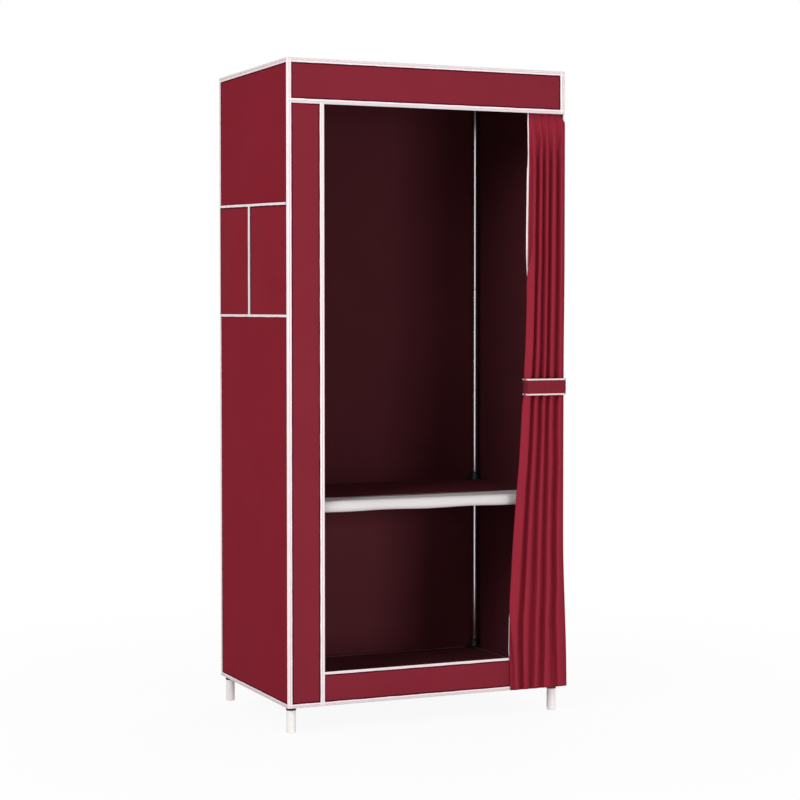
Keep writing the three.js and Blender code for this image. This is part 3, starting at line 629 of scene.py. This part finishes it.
SEWN_X = R - 0.0015
GATHER_AT_HEADER, GATHER_AT_HEM = 0.099, 0.148
FOLD_DEPTH = 0.0186
HANG_Y = F - 0.0035
HEADER_Y = ROD_Y + 0.004
HEADER_TOP = ROD_Z - 0.0045
FOLD_SIZE = [1.04, 0.95, 1.0, 0.97, 1.03]
FOLD_ROUND, FOLD_LEAN, FOLD_TAIL = 0.25, 0.47, 0.36
EDGE_CURL = 0.0138
CURL_DIP, CURL_DIP_WIDTH = 0.42, 0.017
EDGE_TUCK, EDGE_TUCK_DEPTH = 0.0034, 0.0009
HEADER_PULL = 0.0088
HEAD_FLARE = 0.0021
FOOT_FLARE = 0.0103
HEM_DIP = 0.0031
STRAP_SHARE = 0.477

# Share of the drop below the valance, spread of the leading edge, depth of the folds, and how far they
# have come forward
STATIONS = np.array([
    (-0.045, 0, 0.18, 0),
    (0.002, 0, 0.16, 0),
    (0.015, -0.015, 0.2, 1),
    (0.03, -0.03, 0.28, 1),
    (0.06, -0.04, 0.58, 1),
    (0.09, -0.05, 0.85, 1),
    (0.14, -0.03, 0.93, 1),
    (0.22, 0.0, 0.93, 1),
    (0.33, -0.04, 0.93, 1),
    (0.41, 0.025, 0.95, 1),
    (0.47, 0.145, 0.97, 1),
    (0.55, 0.27, 0.93, 1),
    (0.6, 0.36, 0.94, 1),
    (0.67, 0.555, 0.97, 1),
    (0.74, 0.73, 1, 1),
    (0.88, 0.965, 1, 1),
    (0.93, 0.99, 1, 1),
    (1, 0.92, 0.9, 1),
])

# Share of the drop, and where the folds part, as shares of the gathered width
FOLD_EDGES = np.array([
    (0, 0.177, 0.39, 0.6, 0.81),
    (0.03, 0.247, 0.424, 0.59, 0.837),
    (0.05, 0.283, 0.42, 0.594, 0.853),
    (0.065, 0.24, 0.416, 0.594, 0.815),
    (0.09, 0.219, 0.402, 0.586, 0.824),
    (0.125, 0.216, 0.406, 0.584, 0.822),
    (0.24, 0.211, 0.406, 0.566, 0.828),
    (0.33, 0.153, 0.373, 0.544, 0.812),
    (0.41, 0.149, 0.383, 0.545, 0.806),
    (0.5, 0.162, 0.383, 0.567, 0.805),
    (0.55, 0.168, 0.393, 0.568, 0.796),
    (0.6, 0.168, 0.392, 0.574, 0.822),
    (0.67, 0.179, 0.396, 0.591, 0.803),
    (0.74, 0.19, 0.411, 0.594, 0.808),
    (0.82, 0.181, 0.407, 0.593, 0.804),
    (0.88, 0.164, 0.394, 0.57, 0.768),
    (0.94, 0.17, 0.379, 0.552, 0.775),
    (1, 0.173, 0.35, 0.52, 0.78),
])


def curtain_rows():
    """Height, leading edge, back plane and fold depth for each row of the curtain, from its top down."""
    drop = VALANCE_Z - HEM_Z
    top_share = (VALANCE_Z - HEADER_TOP) / drop
    shares = np.concatenate([np.linspace(top_share, 0.1, 44), np.linspace(0.1, 1, 150)[1:]])
    columns = []
    for k in (1, 2, 3):
        fine = np.linspace(top_share, 1, 800)
        values = np.interp(fine, STATIONS[:, 0], STATIONS[:, k])
        width = 3 if k == 3 else 9
        padded = np.pad(values, width, mode="edge")
        kernel = np.hanning(2 * width + 3)[1:-1]
        smooth = np.convolve(padded, kernel / kernel.sum(), mode="valid")
        columns.append(np.interp(shares, fine, smooth))
    spread, depth, forward = columns
    leading = R - GATHER_AT_HEADER - (GATHER_AT_HEM - GATHER_AT_HEADER) * spread
    leading = leading + HEADER_PULL * (1 - forward) * smooth_step(shares, top_share, 0)
    back = HEADER_Y + (HANG_Y - HEADER_Y) * forward
    return VALANCE_Z - drop * shares, leading, back, FOLD_DEPTH * depth, shares


def curtain_grid():
    z, leading, back, depth, shares = curtain_rows()
    steps = 26
    curl = EDGE_CURL * smooth_step(shares, 0.22, 0.3) * (1 - smooth_step(shares, 0.84, 0.96))
    curl = curl * (1 - CURL_DIP * np.exp(-((shares - STRAP_SHARE) / CURL_DIP_WIDTH) ** 2))
    flare = FOOT_FLARE * smooth_step(shares, 0.72, 1.0)
    flare = flare + HEAD_FLARE * smooth_step(shares, -0.03, 0.02) * (1 - smooth_step(shares, 0.25, 0.48))
    turn = 2 * math.pi * np.arange(steps) / steps
    rows = []
    for k in range(len(z)):
        tail = depth[k] * FOLD_TAIL
        trailing = SEWN_X + flare[k]
        pleated = trailing - tail - leading[k]
        parts = [0, *(np.interp(shares[k], FOLD_EDGES[:, 0], FOLD_EDGES[:, i]) for i in (1, 2, 3, 4)), 1]
        line = []
        for fold in range(5):
            pitch = pleated * (parts[fold + 1] - parts[fold])
            start = leading[k] + pleated * parts[fold]
            round_out = FOLD_ROUND + 0.04 * math.sin(shares[k] * 5 + fold * 2.7)
            lean = FOLD_LEAN + 0.03 * math.sin(shares[k] * 7 + fold * 1.9)
            bulge = round_out * np.sin(2 * turn) - lean * (1 - np.cos(turn))
            x = start + pitch / (2 * math.pi) * (turn + bulge)
            if fold == 0:
                x = x - curl[k] * np.where(turn < math.pi, np.sin(turn) ** 2, 0)
            full = ((1 - np.cos(turn)) / 2) ** 0.54
            size = FOLD_SIZE[fold] * (1 + 0.03 * math.sin(shares[k] * 9 + fold * 2.1))
            line.append(np.stack([x, back[k] - depth[k] * min(size, 1.06) * full], axis=1))
        ease = np.linspace(0, 1, 6)
        line.append(np.stack([leading[k] + pleated + tail * ease, np.full(6, back[k])], axis=1))
        line = np.concatenate(line)
        fine = 0.0002 * np.sin(z[k] * 95 + line[:, 0] * 210)
        line[:, 1] -= np.abs(fine)
        if z[k] < HEM_Z + 0.016:
            line[:, 1] -= 0.0004
        behind = 1 - np.clip((back[k] - line[:, 1]) / depth[k], 0, 1)
        rows.append(np.column_stack([line, z[k] - HEM_DIP * smooth_step(shares[k], 0.93, 1) * behind]))
    return np.stack(rows[::-1], axis=1)


def cloth_width(grid, row):
    return float(np.linalg.norm(np.diff(grid[:, row], axis=0), axis=1).sum())


def curtain():
    grid = curtain_grid()
    height = float(grid[0, -1, 2] - grid[0, 0, 2])
    width = cloth_width(grid, 60)
    piece = sheet("curtain_cloth", grid, (width, height), [CURTAIN, CURTAIN], thickness=0.0008, body=None)
    return piece, grid, width, height


def casing():
    """The gathered sleeve at the curtain's top, round the rod."""
    x0, x1 = R - GATHER_AT_HEADER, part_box("curtain_rod")[1].x - 0.012
    s, a = np.meshgrid(np.linspace(0, 1, 90), np.linspace(0, 2 * math.pi, 25), indexing="ij")
    ruffle = 0.0005 * np.sin(s * 88 + 2 * np.sin(a)) + 0.0002 * np.sin(s * 201 + a * 3)
    radius = 0.0041 + ruffle
    grid = np.stack([x0 + (x1 - x0) * s, ROD_Y + radius * np.cos(a), ROD_Z + radius * np.sin(a)], axis=-1)
    piece = sheet("curtain_casing", grid, (0.3, 0.028), [CURTAIN, CURTAIN], thickness=0.0006, body=None)
    return piece


def curtain_edge(grid):
    """White tape folded over the curtain's leading edge. At the strap and below the sill it lies behind the cloth."""
    points, faces, uvs = [], [], []
    section = [(0.0005, -0.0008), (-0.0009, -0.0011), (-0.0019, -0.0009), (-0.0023, -0.0002), (-0.0023, 0.0004),
               (-0.0018, 0.0009), (0.0005, 0.0009)]
    rows = grid.shape[1]
    top = ROD_Z - 0.0115
    for j in range(rows):
        x, y, z = grid[0, j]
        share = (VALANCE_Z - z) / (VALANCE_Z - HEM_Z)
        behind = float(1 - smooth_step(z, SILL_Z - 0.004, SILL_Z + 0.022))
        behind = max(behind, math.exp(-((share - STRAP_SHARE) / 0.024) ** 4), 0.45 * smooth_step(share, 0.82, 0.86))
        spread = 1 + float(smooth_step(share, 0.07, 0.11) * (1 - smooth_step(share, 0.25, 0.3)))
        z = min(z, top)
        for k, (a, b) in enumerate(section):
            wide = a * (spread if a < 0 else 1)
            deep = 0.0004 + b * (1 - 0.5 * behind)
            points.append((x + wide + EDGE_TUCK * behind, y + deep + EDGE_TUCK_DEPTH * behind, z))
            uvs.append((z, k * 0.001))
    size = len(section)
    for j in range(rows - 1):
        for k in range(size):
            a, b = j * size + k, j * size + (k + 1) % size
            faces.append((a, a + size, b + size, b))
    faces.append(tuple(range(size)))
    faces.append(tuple((rows - 1) * size + k for k in reversed(range(size))))
    piece = make("curtain_edge_tape", points, faces, [TAPE], uvs, body=CURTAIN_BODY)
    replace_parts(piece, "curtain_edge_binding")
    return piece


curtain_piece, curtain_points, curtain_width, curtain_height = curtain()
casing_piece = casing()
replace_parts(curtain_piece, "curtain")
edge_tape = curtain_edge(curtain_points)
for piece in (curtain_piece, casing_piece):
    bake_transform(piece)


# Tieback

STRAP_LO, STRAP_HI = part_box("tieback")


def tieback_path():
    """The strap's middle line in plan, from its sewn end round the gathered curtain to its return behind."""
    start = Vector((STRAP_HI.x - 0.0006, F - 0.002))
    crest_y = STRAP_LO.y + 0.0006
    crest_x = SEWN_X - 0.0075
    left = STRAP_LO.x + 0.0048
    r = 0.008
    points = [start + (Vector((crest_x + r / 2, crest_y + r)) - start) * t for t in np.linspace(0, 1, 8)]

    def corner(a, b, c):
        for t in np.linspace(0, 1, 8)[1:]:
            points.append(a * (1 - t) ** 2 + b * 2 * t * (1 - t) + c * t * t)

    corner(points[-1], Vector((crest_x, crest_y)), Vector((crest_x - r, crest_y)))
    run = crest_x - r - (left + r)
    for t in np.linspace(0, 1, 24)[1:]:
        press = 0.0007 * math.sin(t * math.pi * 5) ** 2
        points.append(Vector((crest_x - r - run * t, crest_y + press)))
    corner(points[-1], Vector((left, crest_y)), Vector((left, crest_y + r)))
    back = F - 0.002
    small = 0.0025
    points += [Vector((left, crest_y + r + (back - small - crest_y - r) * t)) for t in np.linspace(0, 1, 8)[1:]]
    corner(points[-1], Vector((left, back)), Vector((left + small, back)))
    points += [Vector((left + small + 0.0235 * t, back)) for t in np.linspace(0, 1, 6)[1:]]
    return points


def ribbon(name, path, low, high, rise, thick, rows, material, crown=0.0):
    """A band of cloth that stands on edge along a path in plan."""
    xy = np.array([[p.x, p.y] for p in path])
    along = np.gradient(xy, axis=0)
    along /= np.linalg.norm(along, axis=1, keepdims=True)
    out = np.column_stack([-along[:, 1], along[:, 0]])
    t = np.linspace(0, 1, rows)
    bulge = crown * np.sin(np.pi * t)
    grid = np.zeros((len(xy), rows, 3))
    for j in range(rows):
        grid[:, j, :2] = xy + out * (rise + bulge[j])
        grid[:, j, 2] = low + (high - low) * t[j]
    length = float(np.linalg.norm(np.diff(xy, axis=0), axis=1).sum())
    return sheet(name, grid[::-1], (length, high - low), [material, material], thick, body=TIEBACK_BODY), length


def tieback():
    path = tieback_path()
    low, high = STRAP_LO.z, STRAP_HI.z
    strap, length = ribbon("tieback_strap", path, low, high, 0.0005, 0.001, 9, TIE, crown=0.0004)
    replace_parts(strap, "tieback")
    # The strap's tapes take the tape's painted shade all over.
    for label, z0, z1 in (("upper", high - 0.0036, high + 0.0003), ("lower", low - 0.0003, low + 0.0036)):
        edge, _ = ribbon(f"tieback_tape_{label}", path, z0, z1, 0.0012, 0.0022, 5, TAPE_PAINTED_SHADE, crown=0.0006)


tieback()


# Shelf and base cloths

RAIL_SIDES = (("front", EX, -EY), ("back", EX, EY), ("left", EY, -EX), ("right", EY, EX))
SLEEVE_RADIUS, SLEEVE_DROP = 0.0093, 0.0062
CORNER_CUT = 0.0303


def rail_cloth(name, node, top, under, sag, seed, band=None, field=None):
    """One cloth with a sleeve over each rail, its corners cut away, that sags a little between them. With a
    band, only that much of its top behind the front sleeve has the sleeve's finish, and the rest has field's, a
    painted shade."""
    lo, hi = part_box(node)
    rail_z = hi.z - SLEEVE_RADIUS
    middle = (lo + hi) / 2
    half_x = (hi.x - lo.x) / 2 - SLEEVE_RADIUS
    half_y = (hi.y - lo.y) / 2 - SLEEVE_RADIUS
    ys = np.linspace(-half_y, half_y, 81)
    if band:
        ys[np.argmin(np.abs(ys + half_y - band))] = band - half_y
    x, y = np.meshgrid(np.linspace(-half_x, half_x, 121), ys, indexing="ij")
    inset_x = np.clip((half_x - np.abs(x)) / 0.03, 0, 1)
    inset_y = np.clip((half_y - np.abs(y)) / 0.03, 0, 1)
    swell = (1 - (x / half_x) ** 2) * (1 - (y / half_y) ** 2)
    creases = 0.0005 * np.sin(x * 37 + seed) * np.sin(y * 29 + 2 * seed) * inset_x * inset_y
    z = hi.z - sag * swell + creases * swell
    grid = np.stack([x + middle.x, y + middle.y, z], axis=-1)
    keep = ~((np.abs(x) > half_x - CORNER_CUT) & (np.abs(y) > half_y - CORNER_CUT))
    flat = (2 * half_x, 2 * half_y)
    finishes, kinds = [top, under], None
    if band:
        finishes.append(field)
        kinds = np.where((y[:-1, :-1] + y[:-1, 1:]) / 2 + half_y > band, 2, 0)
    piece = sheet(f"{name}_top", grid, flat, finishes, 0.0009, kinds=kinds, rim_kind=2 if band else 0)
    drop_corners(piece, keep)
    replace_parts(piece, node)
    sewing = ([], [])
    for side, axis, outward in RAIL_SIDES:
        run, reach = (half_x - CORNER_CUT, half_y) if axis is EX else (half_y - CORNER_CUT, half_x)
        centre = Vector((middle.x, middle.y, rail_z)) + outward * reach
        finish = top if side == "front" or not band else field
        sleeve(name, side, centre, axis, outward, run, finish, seed)
        if side == "front" or not band:
            seam = centre - outward * (SLEEVE_RADIUS + 0.002) + EZ * (SLEEVE_RADIUS + 0.0001)
            stitches(*sewing, seam - axis * run, seam + axis * run, EZ, 0.0001)
    if band:
        edge = Vector((middle.x, middle.y - half_y + band - 0.0025, hi.z - 0.0004))
        stitches(*sewing, edge - EX * (half_x - 0.004), edge + EX * (half_x - 0.004), EZ, 0.0001)
    stitching = make(f"{name}_stitching", *sewing, [THREAD])


def drop_corners(piece, keep):
    """Deletes the faces of a sheet whose points aren't kept, and joins its two layers along the new edge."""
    mesh = bmesh.new()
    mesh.from_mesh(piece.data)
    points = list(mesh.verts)
    place = {v: i for i, v in enumerate(points)}
    half = keep.size
    bmesh.ops.delete(mesh, geom=[v for i, v in enumerate(points) if not keep.ravel()[i % half]], context="VERTS")
    for edge in [e for e in mesh.edges if e.is_boundary]:
        loop = edge.link_loops[0]
        a, b = loop.vert, loop.link_loop_next.vert
        if place[a] < half and place[b] < half:
            side = mesh.faces.new((b, a, points[place[a] + half], points[place[b] + half]))
            side.material_index, side.smooth = loop.face.material_index, True
    mesh.to_mesh(piece.data)
    mesh.free()


def sleeve(name, side, centre, axis, outward, run, material, seed):
    """The part of a cloth that goes round a rail: round over the top, hanging a little below it."""
    s, a = np.meshgrid(np.linspace(-1, 1, 150), np.linspace(-0.5 * math.pi, 1.5 * math.pi, 41), indexing="ij")
    wave = 0.00035 * np.sin(s * run * 52 + seed) + 0.0002 * np.sin(s * run * 133 + 2 * seed)
    below = np.where(np.sin(a) < 0, -SLEEVE_DROP, 0.0) * (0.86 + 0.14 * np.sin(s * 9 + seed))
    out = np.cos(a) * (SLEEVE_RADIUS + wave * np.clip(0.6 - np.sin(a), 0, 1))
    up = np.sin(a) * SLEEVE_RADIUS + below
    grid = np.array(centre) + s[..., None] * run * np.array(axis)
    grid = grid + out[..., None] * np.array(outward) + up[..., None] * np.array(EZ)
    if axis.cross(outward).z < 0:
        grid = grid[::-1]
    flat = (2 * run, 2 * math.pi * SLEEVE_RADIUS + 2 * SLEEVE_DROP)
    piece = sheet(f"{name}_sleeve_{side}", grid, flat, [material, material], 0.0008)


# The dark field on the shelf is painted shade.
rail_cloth("shelf", "shelf_cloth", SHELF, SHELF, 0.0035, 1.3, band=0.095, field=SHELF_PAINTED_SHADE)
rail_cloth("base", "base_cloth", LINING, LINING, 0.003, 2.1)


# Frame

LATHE_SIDES = 40
TUBE_RADIUS, TUBE_WALL, TUBE_SOFT = 0.008, 0.0008, 0.0003
NECK_LENGTH, NECK_GAP = 0.035, 0.0003
PLUG_LENGTH, SOLE_ROUND = 0.018, 0.003
ROD_RADIUS, ROD_SOFT = 0.003, 0.0005


def lathe(base_point, direction, profile):
    """The points and faces of a closed [radius, distance] profile turned about a line."""
    points, faces = [], []
    direction = direction.normalized()
    e1 = direction.orthogonal().normalized()
    e2 = direction.cross(e1)
    size = len(profile)
    for i in range(LATHE_SIDES):
        t = 2 * math.pi * i / LATHE_SIDES
        spoke = e1 * math.cos(t) + e2 * math.sin(t)
        for radius, d in profile:
            points.append(base_point + direction * d + spoke * radius)
    for i in range(LATHE_SIDES):
        j = (i + 1) % LATHE_SIDES
        for k in range(size):
            m = (k + 1) % size
            if profile[k][0] < 1e-6 and profile[m][0] < 1e-6:
                continue
            faces.append((i * size + k, j * size + k, j * size + m, i * size + m))
    return points, faces


def welded(piece, reach, angle):
    """Joins points that meet, and keeps the edges sharper than the angle, in degrees."""
    weld = piece.modifiers.new("weld", "WELD")
    weld.merge_threshold = reach
    crease = piece.modifiers.new("crease", "EDGE_SPLIT")
    crease.split_angle = math.radians(angle)


def turned(name, node, start, direction, profile, material):
    piece = make(name, *lathe(start, direction, profile), [material])
    welded(piece, 0.000002, 38)
    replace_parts(piece, node)


def tube(node):
    """A round tube in the place of a faceted one, with softened ends, and a neck on the upper posts."""
    lo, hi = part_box(node)
    size = hi - lo
    k = max(range(3), key=lambda i: size[i])
    direction = (EX, EY, EZ)[k]
    start = (lo + hi) / 2
    start[k] = lo[k]
    length, radius, wall, soft = size[k], TUBE_RADIUS, TUBE_WALL, TUBE_SOFT
    profile = [(radius - wall, soft), (radius - soft, 0), (radius, soft), (radius, length - soft),
               (radius - soft, length), (radius - wall, length - soft)]
    if node.startswith("upper_post"):
        neck = radius - wall - NECK_GAP
        shoulder = NECK_LENGTH + NECK_GAP
        profile = [(neck - wall, soft), (neck - soft, 0), (neck, soft), (neck, shoulder),
                   (neck + 0.0004, shoulder + 0.0009), (radius - 0.0003, shoulder + 0.0033),
                   (radius, shoulder + 0.004), (radius, length - soft), (radius - soft, length),
                   (radius - wall, length - soft), (radius - wall, shoulder + 0.004), (neck - wall, shoulder)]
    turned(f"{node}_tube", node, start, direction, profile, STEEL)


def foot(node):
    """A white plastic foot: rounded sole edge, a shoulder and a plug up into its socket."""
    lo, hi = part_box(node)
    middle = (lo + hi) / 2
    radius, tall = (hi.x - lo.x) / 2, hi.z
    shoulder = tall - PLUG_LENGTH
    edge = SOLE_ROUND
    profile = [(0, 0), (radius - edge, 0)]
    profile += [(radius - edge + edge * math.sin(t), edge - edge * math.cos(t)) for t in (0.35, 0.7, 1.05, 1.35)]
    profile += [(radius, 0.0034), (radius, shoulder - 0.0006), (radius - 0.0006, shoulder), (0.008, shoulder),
                (0.008, tall - 0.0006), (0.0074, tall), (0.0056, tall), (0.0054, 0.006), (0, 0.006)]
    turned(f"{node}_moulding", node, Vector((middle.x, middle.y, 0)), EZ, profile, WHITE)


def rod():
    lo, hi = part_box("curtain_rod")
    radius, length, soft = ROD_RADIUS, hi.x - lo.x, ROD_SOFT
    profile = [(0, 0), (radius - soft, 0), (radius, soft)]
    profile += [(radius, length - soft), (radius - soft, length), (0, length)]
    turned("curtain_rod_bar", "curtain_rod", Vector((lo.x, ROD_Y, ROD_Z)), EX, profile, STEEL)


for node, cad in frame["nodes"].items():
    if "_post_" in node or ("_rail" in node and "clip" not in node) or node == "hanging_rail":
        tube(node)
    elif node.startswith("foot_"):
        foot(node)
    elif "connector" in node or "clip" in node or node == "curtain_glide_ring":
        finish = WHITE if node == "curtain_glide_ring" else BLACK
        cad.data.materials.clear()
        cad.data.materials.append(finish)
        if "custom_normal" in cad.data.attributes:
            cad.data.attributes.remove(cad.data.attributes["custom_normal"])
        cad.data.polygons.foreach_set("use_smooth", [True] * len(cad.data.polygons))
        welded(cad, 0.00001, 34)
rod()


# Floor, light and camera

FLOOR_FADE = (0.5, 2.2)
FLOOR_GLOW = 0.93
FLOOR_REACH = 40
WORLD_LIGHT = 0.49
CAMERA_PLACE = (-1.98386, -4.55091, 0.97564)
CAMERA_TURN = (87.9227, 0.0102, -23.8175)
LENS, SHIFT_Y = 91.602, -0.0221


def floor():
    """A white floor that keeps the object's shadow and grows as white as the backdrop further out."""
    corners = [(x * FLOOR_REACH, y * FLOOR_REACH, 0) for x, y in ((-1, -1), (1, -1), (1, 1), (-1, 1))]
    piece = make("floor", corners, [(0, 1, 2, 3)], [], body=None)
    n = Nodes("floor_white")
    n.set(Base_Color=linear((247, 246, 246)), Roughness=0.9)
    place = n.add("ShaderNodeTexCoord").outputs["Object"]
    distance = n.add("ShaderNodeVectorMath", {0: place}, operation="LENGTH").outputs["Value"]
    share = n.fade(distance, *FLOOR_FADE, FLOOR_GLOW, 1.0)
    path = n.add("ShaderNodeLightPath")
    glow = n.add("ShaderNodeEmission", {"Color": (1, 1, 1, 1), "Strength": 1.0})
    seen = n.math("MAXIMUM", path.outputs["Is Camera Ray"], path.outputs["Is Glossy Ray"])
    seen = n.math("MAXIMUM", seen, path.outputs["Is Transmission Ray"])
    blend = n.add("ShaderNodeMixShader", {0: n.math("MULTIPLY", seen, share)})
    n.tree.links.new(n.shader.outputs[0], blend.inputs[1])
    n.tree.links.new(glow.outputs[0], blend.inputs[2])
    n.tree.links.new(blend.outputs[0], n.tree.nodes["Material Output"].inputs["Surface"])
    piece.data.materials.append(n.material)


def world():
    """An even light from all round, and a white backdrop for the camera and for reflections."""
    scene_world = bpy.data.worlds.new("white_room")
    bpy.context.scene.world = scene_world
    scene_world.use_nodes = True
    tree = scene_world.node_tree
    tree.nodes.clear()
    path = tree.nodes.new("ShaderNodeLightPath")
    light = tree.nodes.new("ShaderNodeBackground")
    light.inputs["Color"].default_value = (1, 1, 1, 1)
    light.inputs["Strength"].default_value = WORLD_LIGHT
    shown = tree.nodes.new("ShaderNodeBackground")
    shown.inputs["Color"].default_value = (1, 1, 1, 1)
    shown.inputs["Strength"].default_value = 1.0
    either = tree.nodes.new("ShaderNodeMath")
    either.operation = "MAXIMUM"
    tree.links.new(path.outputs["Is Camera Ray"], either.inputs[0])
    tree.links.new(path.outputs["Is Glossy Ray"], either.inputs[1])
    mix = tree.nodes.new("ShaderNodeMixShader")
    tree.links.new(either.outputs[0], mix.inputs[0])
    tree.links.new(light.outputs[0], mix.inputs[1])
    tree.links.new(shown.outputs[0], mix.inputs[2])
    output = tree.nodes.new("ShaderNodeOutputWorld")
    tree.links.new(mix.outputs[0], output.inputs["Surface"])


def lamp(name, place, target, size, power):
    """A square lamp that faces its target."""
    data = bpy.data.lights.new(name, "AREA")
    data.shape = "SQUARE"
    data.size = size
    data.energy = power
    piece = bpy.data.objects.new(name, data)
    bpy.context.scene.collection.objects.link(piece)
    piece.location = place
    piece.rotation_euler = (Vector(target) - Vector(place)).to_track_quat("-Z", "Y").to_euler()


def camera():
    """The camera fitted to the cover's corners."""
    data = bpy.data.cameras.new("camera")
    data.sensor_width = 36
    data.lens = LENS
    data.shift_y = SHIFT_Y
    data.clip_end = 200
    piece = bpy.data.objects.new("camera", data)
    bpy.context.scene.collection.objects.link(piece)
    piece.location = CAMERA_PLACE
    piece.rotation_euler = [math.radians(turn) for turn in CAMERA_TURN]
    bpy.context.scene.camera = piece


floor()
world()
lamp("key", (-4.0, -2.7, 3.1), (0, 0, 0.9), 2.2, 110)
lamp("fill", (0.9, -5.1, 0.7), (0, 0, 0.5), 1.6, 84)
lamp("back", (3.2, 3.9, 2.8), (0, 0, 0.8), 2.2, 70)
camera()
bpy.context.scene.view_settings.view_transform = "Standard"
